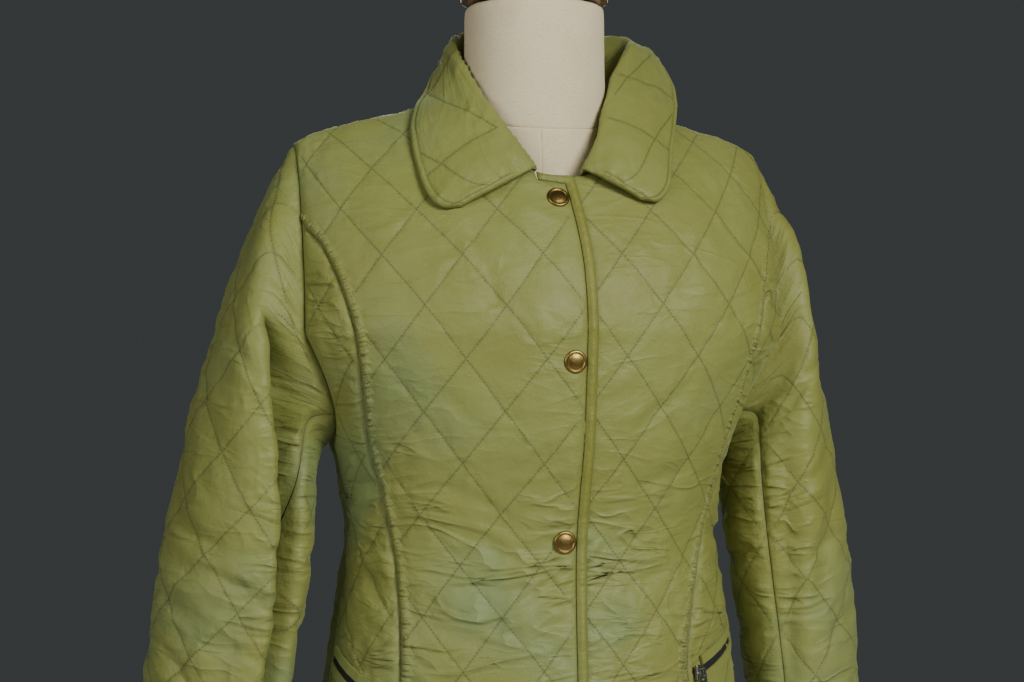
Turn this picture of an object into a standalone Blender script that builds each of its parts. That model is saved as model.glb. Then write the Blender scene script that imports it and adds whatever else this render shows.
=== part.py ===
"""Quilted jacket on a floor-standing dress form.

Metres, +Z up, the front faces -Y and the wearer's left is +X. The origin is on the floor, at the
centre of the form's base. Each cut piece of cloth is a wall whose inside is plain and whose outside
carries the quilting, so its solids have the jacket's worn shape.
"""
import functools
import math

import bmesh
import bpy
import numpy as np
from mathutils import Matrix
from mathutils.geometry import delaunay_2d_cdt

# ---------------------------------------------------------------- driving sizes
HEM_Z = 0.745
CHEST_Z = 1.190
UNDERARM_Z = 1.105
SHOULDER_TIP_X = 0.203
NECK_HALF_WIDTH = 0.074
NECK_DEPTH = {"front": 0.083, "back": 0.066}

CLOTH = 0.0020
QUILT_RISE = 0.0030
QUILT_WIDE = 0.064
QUILT_TALL = 0.083
QUILT_FADE = 0.014
SEAM_GAP = 0.0003
ROW_STEP = 0.028

LAP_UNDER = 0.015
LAP_LIFT = 0.0031
LAP_START = 0.066
LAP_FULL = 0.024
BINDING_WIDE = 0.009
BINDING_THICK = 0.0028
SEAM_TURN = 0.0010

SNAP_RADIUS = 0.0093
SNAP_HEIGHTS = (1.297, 1.168, 1.023, 0.868)
SNAP_FLAT = 0.036
SNAP_CLEAR = 0.0010
SNAP_SEATS = (0.0005, 0.0009, 0.0009, 0.0009)

SLEEVE_ROUND = 0.057
SLEEVE_FRONT_SEAM = 140
SLEEVE_BACK_SEAM = 260
SLEEVE_STEP = 20
SLEEVE_SKEW = 0.020
CORNER_LEAN = 0.16

COLLAR_HALF_LENGTH = 0.255
COLLAR_TALL = 0.132
COLLAR_STAND_SHARE = 0.36
COLLAR_KNEE = 0.16
NECK_LEAN = 0.0012
COLLAR_START_X = 0.019
COLLAR_WALL = 0.0026
ROLL_REACH = 0.02

POLE_RADIUS = 0.0145
BASE_RADIUS = 0.190
BASE_THICK = 0.024
FORM_BOTTOM_Z = 0.700
FORM_NECK_RADIUS = 0.0598
FORM_NECK_CENTRE = (0.0020, -0.0060)
FORM_NECK_TOP = 1.470

# ---------------------------------------------------------------- tables, a row for each section
#        height, half width, front depth, back depth, squareness
BODY_ROWS = (
    (0.745, 0.190, 0.141, 0.136, 2.20),
    (0.840, 0.181, 0.133, 0.128, 2.20),
    (0.930, 0.169, 0.126, 0.119, 2.25),
    (1.020, 0.156, 0.116, 0.108, 2.30),
    (1.065, 0.161, 0.121, 0.107, 2.30),
    (1.105, 0.171, 0.129, 0.109, 2.35),
    (1.190, 0.212, 0.136, 0.110, 2.50),
)
#        distance from the centre, height of the shoulder line for the front and the back slope; inside the
#        neckline the two differ
BODY_RIDGE = (
    (0.000, 1.385, 1.422), (0.040, 1.384, 1.405), (0.074, 1.386, 1.386), (0.100, 1.378, 1.378),
    (0.150, 1.366, 1.366), (0.190, 1.354, 1.354), (0.203, 1.346, 1.346), (0.212, 1.330, 1.330),
)
#        how far the chest runs straight up, and where the slope ends, as shares of rise and depth
BODY_SLOPE = {"front": (0.45, 0.24), "back": (0.60, 0.80)}

FORM_ROWS = (
    (0.700, 0.170, 0.124, 0.122, 2.20),
    (0.840, 0.162, 0.118, 0.114, 2.20),
    (0.930, 0.156, 0.113, 0.108, 2.20),
    (1.020, 0.134, 0.097, 0.092, 2.20),
    (1.065, 0.140, 0.104, 0.094, 2.20),
    (1.105, 0.152, 0.114, 0.097, 2.25),
    (1.190, 0.176, 0.124, 0.099, 2.40),
)
FORM_RIDGE = (
    (0.000, 1.380, 1.380), (0.040, 1.381, 1.381), (0.074, 1.3805, 1.3805), (0.100, 1.3765, 1.3765),
    (0.150, 1.3640, 1.3640), (0.160, 1.3590, 1.3590), (0.170, 1.3420, 1.3420), (0.1755, 1.300, 1.300),
    (0.176, 1.190, 1.190),
)
FORM_SLOPE = {"front": (0.40, 0.12), "back": (0.45, 0.45)}

#        height, distance of the shaped front seam from the centre: right, left
FRONT_SEAM = (
    (0.745, 0.137, 0.116), (0.850, 0.133, 0.108), (0.920, 0.131, 0.103), (0.960, 0.130, 0.110),
    (1.000, 0.131, 0.120), (1.045, 0.138, 0.133), (1.106, 0.153, 0.150), (1.150, 0.161, 0.162),
    (1.190, 0.169, 0.171), (1.230, 0.179, 0.181), (1.262, 0.190, 0.191),
)
#        height, how far the lapping edge passes the centre
LAP_EDGE = ((0.745, 0.012), (0.930, 0.012), (1.010, 0.014), (1.110, 0.017), (1.240, 0.018), (1.330, 0.013))

#        outer x, outer z, inner x, inner z, half depth, centre y, how far front and back stand out, and
#        how far the whole ring swings out: right, left
SLEEVE_RINGS = (
    (0.222, 1.305, 0.1830, 1.0960, 0.0580, 0.000, 0.024, 0.001, -0.004),
    (0.240, 1.255, 0.1870, 1.0750, 0.0650, -0.001, 0.023, 0.003, -0.010),
    (0.257, 1.200, 0.1880, 1.0450, 0.0680, -0.002, 0.017, 0.005, -0.012),
    (0.274, 1.130, 0.1900, 1.0000, 0.0665, -0.004, 0.010, 0.008, -0.010),
    (0.288, 1.050, 0.1930, 0.9500, 0.0630, -0.006, 0.004, 0.013, -0.006),
    (0.299, 0.960, 0.1990, 0.8900, 0.0600, -0.007, 0.000, 0.018, -0.003),
    (0.306, 0.860, 0.2060, 0.8200, 0.0580, -0.008, 0.000, 0.021, -0.003),
    (0.310, 0.757, 0.2120, 0.7430, 0.0560, -0.008, 0.000, 0.022, -0.004),
)
#        side, angle at its top, angle at its foot, top and foot above the cuff, depth, half width
SLEEVE_FOLDS = (
    ("right", 72.0, 112.0, 0.415, 0.215, 0.0120, 12.0),
    ("right", 128.0, 100.0, 0.235, 0.120, 0.0060, 12.0),
    ("right", 30.0, 95.0, 0.190, 0.120, 0.0045, 10.0),
    ("left", 112.0, 138.0, 0.400, 0.060, 0.0080, 14.0),
    ("left", 60.0, 105.0, 0.330, 0.180, 0.0050, 12.0),
    ("left", 20.0, 90.0, 0.160, 0.090, 0.0045, 10.0),
)

#        share of the way from the centre front to the centre back, and then
#        roll line x, y, z, leaf edge x, y, z, fall's bulge; x is the distance from the centre
COLLAR_ROWS = {
    "right": (
        (0.00, 0.0190, -0.0885, 1.3260, 0.0857, -0.1059, 1.2924, 0.0060),
        (0.04, 0.0230, -0.0880, 1.3315, 0.0975, -0.1038, 1.2907, 0.0060),
        (0.08, 0.0270, -0.0870, 1.3370, 0.1055, -0.0999, 1.2936, 0.0060),
        (0.12, 0.0308, -0.0848, 1.3430, 0.1113, -0.0929, 1.3020, 0.0060),
        (0.17, 0.0355, -0.0805, 1.3505, 0.1153, -0.0812, 1.3168, 0.0060),
        (0.23, 0.0415, -0.0735, 1.3610, 0.1170, -0.0660, 1.3351, 0.0055),
        (0.30, 0.0475, -0.0630, 1.3735, 0.1160, -0.0475, 1.3549, 0.0050),
        (0.37, 0.0530, -0.0495, 1.3855, 0.1071, -0.0200, 1.3771, 0.0040),
        (0.44, 0.0590, -0.0270, 1.4060, 0.0906, 0.0120, 1.3958, 0.0035),
        (0.52, 0.0630, -0.0020, 1.4255, 0.0742, 0.0420, 1.4174, 0.0035),
        (0.60, 0.0615, 0.0210, 1.4400, 0.0650, 0.0640, 1.4160, 0.0045),
        (0.68, 0.0540, 0.0395, 1.4475, 0.0590, 0.0830, 1.4060, 0.0055),
        (0.76, 0.0445, 0.0555, 1.4520, 0.0500, 0.0970, 1.3990, 0.0070),
        (0.84, 0.0310, 0.0670, 1.4545, 0.0370, 0.1070, 1.3955, 0.0080),
        (0.92, 0.0130, 0.0745, 1.4565, 0.0200, 0.1125, 1.3940, 0.0090),
        (1.00, -0.0100, 0.0770, 1.4570, 0.0000, 0.1140, 1.3935, 0.0090),
    ),
    "left": (
        (0.00, 0.0198, -0.0880, 1.3250, 0.0653, -0.1038, 1.3001, 0.0050),
        (0.04, 0.0235, -0.0872, 1.3315, 0.0774, -0.1039, 1.2983, 0.0050),
        (0.08, 0.0272, -0.0860, 1.3380, 0.0891, -0.0979, 1.3039, 0.0050),
        (0.12, 0.0308, -0.0835, 1.3445, 0.0975, -0.0876, 1.3151, 0.0055),
        (0.17, 0.0350, -0.0790, 1.3525, 0.1041, -0.0728, 1.3315, 0.0060),
        (0.23, 0.0395, -0.0720, 1.3620, 0.1108, -0.0566, 1.3474, 0.0060),
        (0.30, 0.0450, -0.0625, 1.3735, 0.1226, -0.0300, 1.3700, 0.0060),
        (0.37, 0.0525, -0.0495, 1.3870, 0.1323, -0.0060, 1.3912, 0.0060),
        (0.44, 0.0640, -0.0270, 1.4080, 0.1375, 0.0180, 1.4110, 0.0055),
        (0.52, 0.0810, -0.0040, 1.4300, 0.1373, 0.0440, 1.4291, 0.0050),
        (0.60, 0.0950, 0.0170, 1.4440, 0.1351, 0.0680, 1.4420, 0.0045),
        (0.68, 0.0975, 0.0370, 1.4500, 0.1290, 0.0850, 1.4370, 0.0055),
        (0.76, 0.0860, 0.0540, 1.4545, 0.1150, 0.0980, 1.4210, 0.0070),
        (0.84, 0.0660, 0.0665, 1.4565, 0.0900, 0.1080, 1.4050, 0.0080),
        (0.92, 0.0390, 0.0745, 1.4570, 0.0480, 0.1130, 1.3960, 0.0090),
        (1.00, 0.0100, 0.0770, 1.4570, 0.0000, 0.1140, 1.3935, 0.0090),
    ),
}

POCKET_Z = {"right": (0.888, 0.921), "left": (0.910, 0.943)}
POCKET_IN = 0.006
POCKET_OUT = 0.016
POCKET_FLAT = (0.021, 0.036)
WELT_WIDE = 0.0080
WELT_THICK = 0.0022
ZIP_HALF = 0.0032
WELT_START = 0.012
ZIP_THICK = 0.0012
SLIDER = (0.0090, 0.0120, 0.0030)
ARCH_LONG = 0.0072
ARCH_TALL = 0.0050
ARCH_WIDE = 0.0024
TUNNEL_LONG = 0.0044
TUNNEL_TALL = 0.0026
ARCH_CORNER = 0.0012
TUNNEL_CORNER = 0.0006
BAR_UP = 0.0016
PULL_LENGTH = 0.0260
PULL_WIDE = 0.0090
PULL_THICK = 0.0012
PULL_BAR = 0.0014
PULL_HOLE = 0.0060

#        where a diamond's corner lies on each piece: distance round, distance up
QUILT_AT = {
    "front_right": (0.008, 0.963),
    "front_left": (0.011, 0.965),
    "side_right": (-0.180, 1.004),
    "side_left": (0.180, 1.004),
    "back": (0.0, 1.020),
    "sleeve_right": (0.028, 0.054),
    "sleeve_left": (-0.022, 0.068),
    "collar": (0.0, 0.076),
}

#        name: colour, roughness, metallic
FINISHES = {
    "quilted_cloth": ((0.300, 0.300, 0.080, 1), 0.55, 0.0),
    "binding": ((0.250, 0.250, 0.065, 1), 0.60, 0.0),
    "brass": ((0.360, 0.240, 0.090, 1), 0.35, 1.0),
    "zip_tape": ((0.012, 0.012, 0.012, 1), 0.70, 0.0),
    "pull_metal": ((0.520, 0.510, 0.480, 1), 0.30, 1.0),
    "linen": ((0.720, 0.660, 0.550, 1), 0.85, 0.0),
    "turned_wood": ((0.230, 0.100, 0.040, 1), 0.35, 0.0),
    "pole_steel": ((0.400, 0.400, 0.400, 1), 0.30, 1.0),
}


# ---------------------------------------------------------------- small helpers
def smooth_curve(xs, ys):
    """A monotone cubic through the rows of a short table."""
    xs = np.asarray(xs, float)
    ys = np.asarray(ys, float)
    step = np.diff(xs)
    slope = np.diff(ys) / step
    tangent = np.zeros_like(ys)
    tangent[0], tangent[-1] = slope[0], slope[-1]
    for i in range(1, len(xs) - 1):
        if slope[i - 1] * slope[i] > 0:
            before = 2 * step[i] + step[i - 1]
            after = step[i] + 2 * step[i - 1]
            tangent[i] = (before + after) / (before / slope[i - 1] + after / slope[i])

    def at(x):
        x = min(max(x, xs[0]), xs[-1])
        i = min(max(int(np.searchsorted(xs, x)) - 1, 0), len(xs) - 2)
        t = (x - xs[i]) / step[i]
        rise = t * t * (3 - 2 * t)
        lead = t * (1 - t) ** 2 * step[i] * tangent[i]
        tail = t * t * (t - 1) * step[i] * tangent[i + 1]
        return float(ys[i] * (1 - rise) + ys[i + 1] * rise + lead + tail)

    return at


def columns(rows):
    return [list(column) for column in zip(*rows)]


def ease(start, end, x):
    t = min(max((x - start) / (end - start), 0.0), 1.0)
    return t * t * (3 - 2 * t)


def unit(vector):
    return vector / max(np.linalg.norm(vector), 1e-12)


def running_length(*axes):
    """Distance along a polyline, given as one array for each coordinate."""
    steps = np.sqrt(sum(np.diff(axis) ** 2 for axis in axes))
    return np.concatenate(([0.0], np.cumsum(steps)))


def spread(start, end, step):
    """Evenly spaced values from start to end, both included."""
    count = max(1, round(abs(end - start) / step))
    return [start + (end - start) * k / count for k in range(count + 1)]


# ---------------------------------------------------------------- the body's shape
SWEEP = np.radians(np.linspace(0, 90, 91))
CROSS = np.linspace(0, 1, 41)


class Trunk:
    """A torso-shaped surface: level rings up to the chest, then front and back slopes to the shoulder line.

    A point is named by its face, front or back, by u, the distance round from that face's centre line, and by
    v, the height up to the chest and the distance up the slope beyond it.
    """

    def __init__(self, rows, ridge, slopes):
        height, wide, front, back, square = columns(rows)
        away, front_ridge, back_ridge = columns(ridge)
        self.slopes = slopes
        self.wide = smooth_curve(height, wide)
        self.depth = {"front": smooth_curve(height, front), "back": smooth_curve(height, back)}
        self.square = smooth_curve(height, square)
        self.ridge = {"front": smooth_curve(away, front_ridge), "back": smooth_curve(away, back_ridge)}
        self.ring = functools.lru_cache(None)(self.ring)
        self.slope = functools.lru_cache(None)(self.slope)

    def ring(self, face, z):
        power = 2 / self.square(z)
        x = self.wide(z) * np.sin(SWEEP) ** power
        y = self.depth[face](z) * np.maximum(np.cos(SWEEP), 0.0) ** power
        return x, y, running_length(x, y)

    def slope(self, face, x):
        ring_x, ring_y, _ = self.ring(face, CHEST_Z)
        depth = float(np.interp(x, ring_x, ring_y))
        top = self.ridge[face](x)
        straight, reach = self.slopes[face]
        knee = CHEST_Z + straight * (top - CHEST_Z)
        a, b = (1 - CROSS) ** 3, 3 * CROSS * (1 - CROSS) ** 2
        c, d = 3 * CROSS ** 2 * (1 - CROSS), CROSS ** 3
        y = depth * (a + b + reach * c)
        z = CHEST_Z * a + knee * b + top * (c + d)
        return y, z, running_length(y, z)

    def side(self, face, z):
        return self.ring(face, z)[2][-1]

    def u_at(self, face, x, z):
        """Distance round to the point at x, on the ring at this height or on the chest ring above it."""
        ring_x, _, run = self.ring(face, min(z, CHEST_Z))
        return math.copysign(float(np.interp(abs(x), ring_x, run)), x)

    def v_at(self, face, x, z):
        """Distance up to height z at x on the slope."""
        if z <= CHEST_Z:
            return z
        _, slope_z, run = self.slope(face, abs(x))
        return CHEST_Z + float(np.interp(z, slope_z, run))

    def v_at_depth(self, face, x, depth):
        slope_y, _, run = self.slope(face, abs(x))
        return CHEST_Z + float(np.interp(-depth, -slope_y, run))

    def v_top(self, face, x):
        return CHEST_Z + self.slope(face, abs(x))[2][-1]

    def point(self, face, u, v):
        away = abs(u)
        if v <= CHEST_Z:
            ring_x, ring_y, run = self.ring(face, v)
            x = np.interp(away, run, ring_x)
            y = np.interp(away, run, ring_y)
            z = v
        else:
            ring_x, _, run = self.ring(face, CHEST_Z)
            x = float(np.interp(away, run, ring_x))
            slope_y, slope_z, rise = self.slope(face, x)
            y = np.interp(v - CHEST_Z, rise, slope_y)
            z = np.interp(v - CHEST_Z, rise, slope_z)
        x = math.copysign(x, u)
        return np.array((x, -y, z)) if face == "front" else np.array((-x, y, z))

    def normal(self, face, u, v):
        reach = 0.003
        across = self.point(face, u + reach, v) - self.point(face, u - reach, v)
        up = self.point(face, u, v + reach) - self.point(face, u, v - reach)
        return unit(np.cross(across, up))


BODY = Trunk(BODY_ROWS, BODY_RIDGE, BODY_SLOPE)
FORM = Trunk(FORM_ROWS, FORM_RIDGE, FORM_SLOPE)


def lap_lift(u):
    """How far the lapping front rides over the one beneath, by distance from the centre front."""
    return LAP_LIFT * ease(-LAP_START, -LAP_FULL, u)


def body_place(face, lapping=False):
    def place(u, v):
        normal = BODY.normal(face, u, v)
        lift = lap_lift(u) if lapping else 0.0
        return BODY.point(face, u, v) + normal * lift, normal

    return place


# ---------------------------------------------------------------- seams, as points on the body
def armhole_uv(face, share):
    """The armhole from the shoulder tip, 0, to the underarm, 1."""
    tip_u = BODY.u_at(face, SHOULDER_TIP_X, CHEST_Z)
    if share <= 0.5:
        top = BODY.v_top(face, SHOULDER_TIP_X)
        return tip_u, top + (CHEST_Z - top) * 2 * share
    turn = (share - 0.5) * math.pi
    v = CHEST_Z - (CHEST_Z - UNDERARM_Z) * math.sin(turn)
    inward = (BODY.side(face, CHEST_Z) - tip_u) * math.cos(turn)
    return BODY.side(face, v) - inward, v


def armhole_face(angle):
    """Face and share of the armhole at an angle round the sleeve: 0 at the shoulder, 90 in front."""
    angle %= 360
    return ("front", angle / 180) if angle <= 180 else ("back", (360 - angle) / 180)


def armhole_seam(face, first, last):
    """Seam points at the sleeve's steps, from one angle below the shoulder tip to another."""
    count = round(abs(last - first) / SLEEVE_STEP)
    angles = [first + (last - first) * k / count for k in range(count + 1)]
    return [armhole_uv(face, angle / 180) for angle in angles]


def neck_depth(face, x):
    share = min(abs(x) / NECK_HALF_WIDTH, 1.0)
    return NECK_DEPTH[face] * math.sqrt(1 - share * share)


def neck_uv(face, x):
    return BODY.u_at(face, x, CHEST_Z), BODY.v_at_depth(face, x, neck_depth(face, x))


def neck_angles(first, last, count):
    """Distances from the centre that step evenly round the neck, from one x to another."""
    start, end = (math.asin(min(x / NECK_HALF_WIDTH, 1.0)) for x in (first, last))
    return [NECK_HALF_WIDTH * math.sin(start + (end - start) * k / count) for k in range(count + 1)]


NECK_FRONT = neck_angles(COLLAR_START_X, NECK_HALF_WIDTH, 5)
NECK_BACK = neck_angles(0.0, NECK_HALF_WIDTH, 5)


def shoulder_seam(face):
    """From the shoulder tip to the neck."""
    return [
        (BODY.u_at(face, x, CHEST_Z), BODY.v_top(face, x))
        for x in spread(SHOULDER_TIP_X, NECK_HALF_WIDTH, 0.026)
    ]


def front_seam(side):
    """The shaped seam from the hem to the armhole."""
    height, right, left = columns(FRONT_SEAM)
    place = smooth_curve(height, right if side == "right" else left)
    end = armhole_uv("front", 2 * SLEEVE_STEP / 180)
    levels = spread(HEM_Z, height[-1], ROW_STEP)
    return [(BODY.u_at("front", place(z), z), BODY.v_at("front", place(z), z)) for z in levels] + [end]


LAP_OUT = smooth_curve(*columns(LAP_EDGE))


def neck_v(x):
    return neck_uv("front", x)[1]


def front_edge(side):
    """The centre edge from the hem up to the neckline."""
    if side == "right":
        levels = spread(HEM_Z, neck_v(0.0) - BINDING_WIDE, ROW_STEP / 2)
        return [(LAP_OUT(v) - BINDING_WIDE, v) for v in levels]
    return [(-LAP_UNDER, v) for v in spread(HEM_Z, neck_v(LAP_UNDER) - SEAM_GAP, ROW_STEP)]


def mirrored(outline):
    return [(-u, v) for u, v in outline]


# ---------------------------------------------------------------- cloth with quilting
def outline_distance(points, outline):
    """Distance of each point to the outline, above zero inside it."""
    start = np.asarray(outline)
    end = np.roll(start, -1, axis=0)
    points = np.asarray(points)[:, None, :]
    edge = end - start
    along = np.clip(((points - start) * edge).sum(2) / np.maximum((edge ** 2).sum(1), 1e-18), 0, 1)
    nearest = np.linalg.norm(points - (start + along[..., None] * edge), axis=2).min(1)
    above = start[:, 1] > points[..., 1]
    crosses = above != (end[:, 1] > points[..., 1])
    rise = np.where(np.abs(edge[:, 1]) < 1e-12, 1e-12, edge[:, 1])
    at = start[:, 0] + (points[..., 1] - start[:, 1]) / rise * edge[:, 0]
    inside = (crosses & (points[..., 0] < at)).sum(1) % 2 == 1
    return np.where(inside, nearest, -nearest)


def inset(outline, by):
    """The outline moved inwards; it runs anticlockwise."""
    ring = np.asarray(outline)
    before = ring - np.roll(ring, 1, axis=0)
    after = np.roll(ring, -1, axis=0) - ring
    before /= np.linalg.norm(before, axis=1)[:, None]
    after /= np.linalg.norm(after, axis=1)[:, None]
    left = np.stack((-(before + after)[:, 1], (before + after)[:, 0]), 1)
    left /= np.maximum(np.linalg.norm(left, axis=1)[:, None], 1e-9)
    turn = np.clip((left * np.stack((-after[:, 1], after[:, 0]), 1)).sum(1), 0.5, 1)
    return ring + left * (by / turn)[:, None]


def clockwise(outline):
    x, y = np.asarray(outline).T
    return (x * np.roll(y, -1) - np.roll(x, -1) * y).sum() < 0


def triangles_in(outline, points, lines):
    """Triangles over the outline and the points inside it, with the given lines kept as edges."""
    corners = [tuple(map(float, p)) for p in outline] + [tuple(map(float, p)) for p in points]
    border = [(k, (k + 1) % len(outline)) for k in range(len(outline))]
    made = delaunay_2d_cdt(corners, border + lines, [], 1, 1e-7)
    if len(made[0]) != len(corners):
        raise ValueError("a quilting line crosses the outline")
    source = [origin[0] for origin in made[3]]
    return [[source[i] for i in face] for face in made[2]]


def quilt_grid(outline, origin, skip_u, skip_v, margin):
    """Quarter points of the diamonds that lie inside the outline, keyed by column and row."""
    low = np.min(outline, axis=0)
    high = np.max(outline, axis=0)
    step = (QUILT_WIDE / 4, QUILT_TALL / 4)
    first = [math.floor((low[k] - origin[k]) / step[k]) for k in (0, 1)]
    last = [math.ceil((high[k] - origin[k]) / step[k]) for k in (0, 1)]
    keys = [
        (i, j)
        for i in range(first[0], last[0] + 1)
        for j in range(first[1], last[1] + 1)
        if i % skip_u == 0 and j % skip_v == 0
    ]
    points = [(origin[0] + i * step[0], origin[1] + j * step[1]) for i, j in keys]
    away = outline_distance(points, outline)
    return {key: point for key, point, d in zip(keys, points, away) if d > margin}


def quilt_puff(u, v, origin):
    """0 on the sewn diamonds and 1 at the middle of each."""
    across = (u - origin[0]) / QUILT_WIDE
    up = (v - origin[1]) / QUILT_TALL
    return math.sqrt(abs(math.sin(math.pi * (across + up)) * math.sin(math.pi * (across - up))))


def cloth_piece(name, finish, place, outline, origin=None, wall=CLOTH, flat=None, rims=None, skip=(2, 2)):
    """A wall of cloth: a plain inside and, with an origin for its diamonds, a quilted outside.

    place gives a point and its normal. rims holds the point and normal of outline points that meet another
    surface. flat gives how much of the quilting shows at a point.
    """
    rims = list(rims or [None] * len(outline))
    outline = [tuple(p) for p in outline]
    if clockwise(outline):
        outline.reverse()
        rims.reverse()
    cut = inset(outline, SEAM_GAP / 2)
    lattice = origin or (0.0, 0.0)
    outer = quilt_grid(cut, lattice, 1, 1, 0.0050) if origin else quilt_grid(cut, lattice, 2, 2, 0.0080)
    keys = {key: len(cut) + k for k, key in enumerate(outer)}
    lines = []
    for (i, j), k in keys.items():
        for side, on_line in ((1, (i - j) % 4 == 0), (-1, (i + j) % 4 == 0)):
            other = keys.get((i + 1, j + side))
            if origin and on_line and other is not None:
                middle = np.add(outer[i, j], outer[i + 1, j + side]) / 2
                if outline_distance([middle], cut)[0] > 0.001:
                    lines.append((k, other))
    inner = quilt_grid(cut, lattice, skip[0], skip[1], 0.0100)
    outer_faces = triangles_in(cut, list(outer.values()), lines)
    inner_faces = triangles_in(cut, list(inner.values()), [])

    edge = [rim or place(u, v) for rim, (u, v) in zip(rims, cut)]
    outside = [point + normal * wall for point, normal in edge]
    distances = outline_distance(list(outer.values()), cut) if outer else []
    for (u, v), away in zip(outer.values(), distances):
        point, normal = place(u, v)
        rise = 0.0
        if origin:
            rise = QUILT_RISE * quilt_puff(u, v, origin) * ease(0.0, QUILT_FADE, away)
            rise *= flat(u, v) if flat else 1.0
        outside.append(point + normal * (wall + rise))
    inside = [point for point, _ in edge] + [place(u, v)[0] for u, v in inner.values()]

    base = len(outside)
    count = len(cut)
    faces = [list(face) for face in outer_faces]
    faces += [[base + i for i in reversed(face)] for face in inner_faces]
    for k in range(count):
        after = (k + 1) % count
        faces.append([after, k, base + k])
        faces.append([after, base + k, base + after])
    return new_solid(name, finish, outside + inside, faces)


def new_solid(name, finish, points, faces):
    mesh = bpy.data.meshes.new(name)
    mesh.from_pydata([tuple(map(float, p)) for p in points], [], faces)
    work = bmesh.new()
    work.from_mesh(mesh)
    if work.calc_volume(signed=True) < 0:
        bmesh.ops.reverse_faces(work, faces=work.faces)
    work.to_mesh(mesh)
    work.free()
    mesh.shade_smooth()
    mesh.set_sharp_from_angle(angle=math.radians(40))
    obj = bpy.data.objects.new(name, mesh)
    PARTS.objects.link(obj)
    return finished(obj, finish)


def finished(obj, finish):
    obj.data.materials.clear()
    obj.data.materials.append(MATERIALS[finish])
    return obj


# ---------------------------------------------------------------- sleeves
class Sleeve:
    """A sleeve round an arm that hangs.

    angle goes round it, 0 outside and 90 in front; v is the distance up from the cuff.
    """

    def __init__(self, side):
        self.side = side
        self.mirror = 1.0 if side == "left" else -1.0
        self.path = functools.lru_cache(None)(self.path)

    def rings(self, angle):
        """One point on the armhole and on each ring, for the sleeve on +X."""
        face, share = armhole_face(angle)
        armhole = BODY.point(face, *armhole_uv(face, share))
        armhole[0] = abs(armhole[0])
        turn = math.radians(angle)
        points = [armhole]
        for k, row in enumerate(SLEEVE_RINGS, 1):
            out_x, out_z, in_x, in_z, half, y, stand, right_swing, left_swing = row
            reach = k / len(SLEEVE_RINGS)
            swing = right_swing if self.side == "right" else left_swing
            middle = np.array(((out_x + in_x) / 2 + swing, y, (out_z + in_z) / 2))
            arm = np.array(((out_x - in_x) / 2, 0.0, (out_z - in_z) / 2))
            skew = SLEEVE_SKEW * ease(0.0, 0.6, reach)
            out = stand * math.sin(turn) ** 2
            fore = skew * math.cos(turn) - half * math.sin(turn)
            points.append(middle + arm * math.cos(turn) + np.array((out, fore, 0.0)))
        return np.array(points)

    def path(self, angle):
        """The line down the sleeve at an angle, with its distance up from the cuff."""
        knots = self.rings(angle)
        before = np.vstack((2 * knots[0] - knots[1], knots[:-1]))
        after = np.vstack((knots[1:], 2 * knots[-1] - knots[-2]))
        slope = (after - before) / 2
        slope[0] = knots[1] - knots[0]
        t = np.linspace(0, 1, 9)[:-1, None]
        h = t * t * (3 - 2 * t)
        lead = t * (1 - t) ** 2
        tail = t * t * (t - 1)
        runs = [
            knots[k] * (1 - h) + knots[k + 1] * h + slope[k] * lead + slope[k + 1] * tail
            for k in range(len(knots) - 1)
        ]
        line = np.vstack(runs + [knots[-1:]])
        run = running_length(*line.T)
        return line[::-1], (run[-1] - run)[::-1]

    def top(self, angle):
        return self.path(angle)[1][-1]

    def plain_point(self, angle, v):
        line, run = self.path(angle)
        return np.array([np.interp(v, run, line[:, k]) for k in range(3)])

    def fold_depth(self, angle, v):
        depth = 0.0
        for side, top_angle, foot_angle, top, foot, deep, half in SLEEVE_FOLDS:
            if side != self.side:
                continue
            along = (top - v) / (top - foot)
            if 0 < along < 1:
                off = (angle - top_angle - (foot_angle - top_angle) * along + 180) % 360 - 180
                depth += deep * math.exp(-(off / half) ** 2) * math.sin(math.pi * along) ** 0.7
        return depth

    def point(self, angle, v):
        place = self.plain_point(angle, v)
        depth = self.fold_depth(angle, v)
        if depth > 0:
            place = place + unit(self.plain_point(angle + 180, v) - place) * depth
        place[0] *= self.mirror
        return place

    def normal(self, angle, v):
        around = self.point(angle + 3, v) - self.point(angle - 3, v)
        up = self.point(angle, v + 0.003) - self.point(angle, v - 0.003)
        outward = unit(np.cross(around, up))
        return outward * -self.mirror

    def place(self, u, v):
        angle = math.degrees(u / SLEEVE_ROUND)
        return self.point(angle, v), self.normal(angle, v)

    def seam_rim(self, angle, towards):
        """Point and shared normal on the armhole seam.

        towards is 1 on the sleeve's side of it and -1 on the body's.
        """
        face, share = armhole_face(angle)
        u, v = armhole_uv(face, share)
        if (self.side == "right") == (face == "front"):
            u = -u
        seam = BODY.point(face, u, v)
        body_normal = BODY.normal(face, u, v)
        top = self.top(angle)
        down = unit(self.point(angle, top - 0.008) - self.point(angle, top))
        along = self.point(angle + 2, self.top(angle + 2)) - self.point(angle - 2, self.top(angle - 2))
        sleeve_normal = unit(np.cross(along, -down)) * -self.mirror
        shared = unit(body_normal + sleeve_normal)
        away = unit(np.cross(unit(along), shared))
        if np.dot(away, down) < 0:
            away = -away
        return seam + away * (towards * SEAM_GAP / 2), shared


SLEEVES = {side: Sleeve(side) for side in ("right", "left")}


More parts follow.
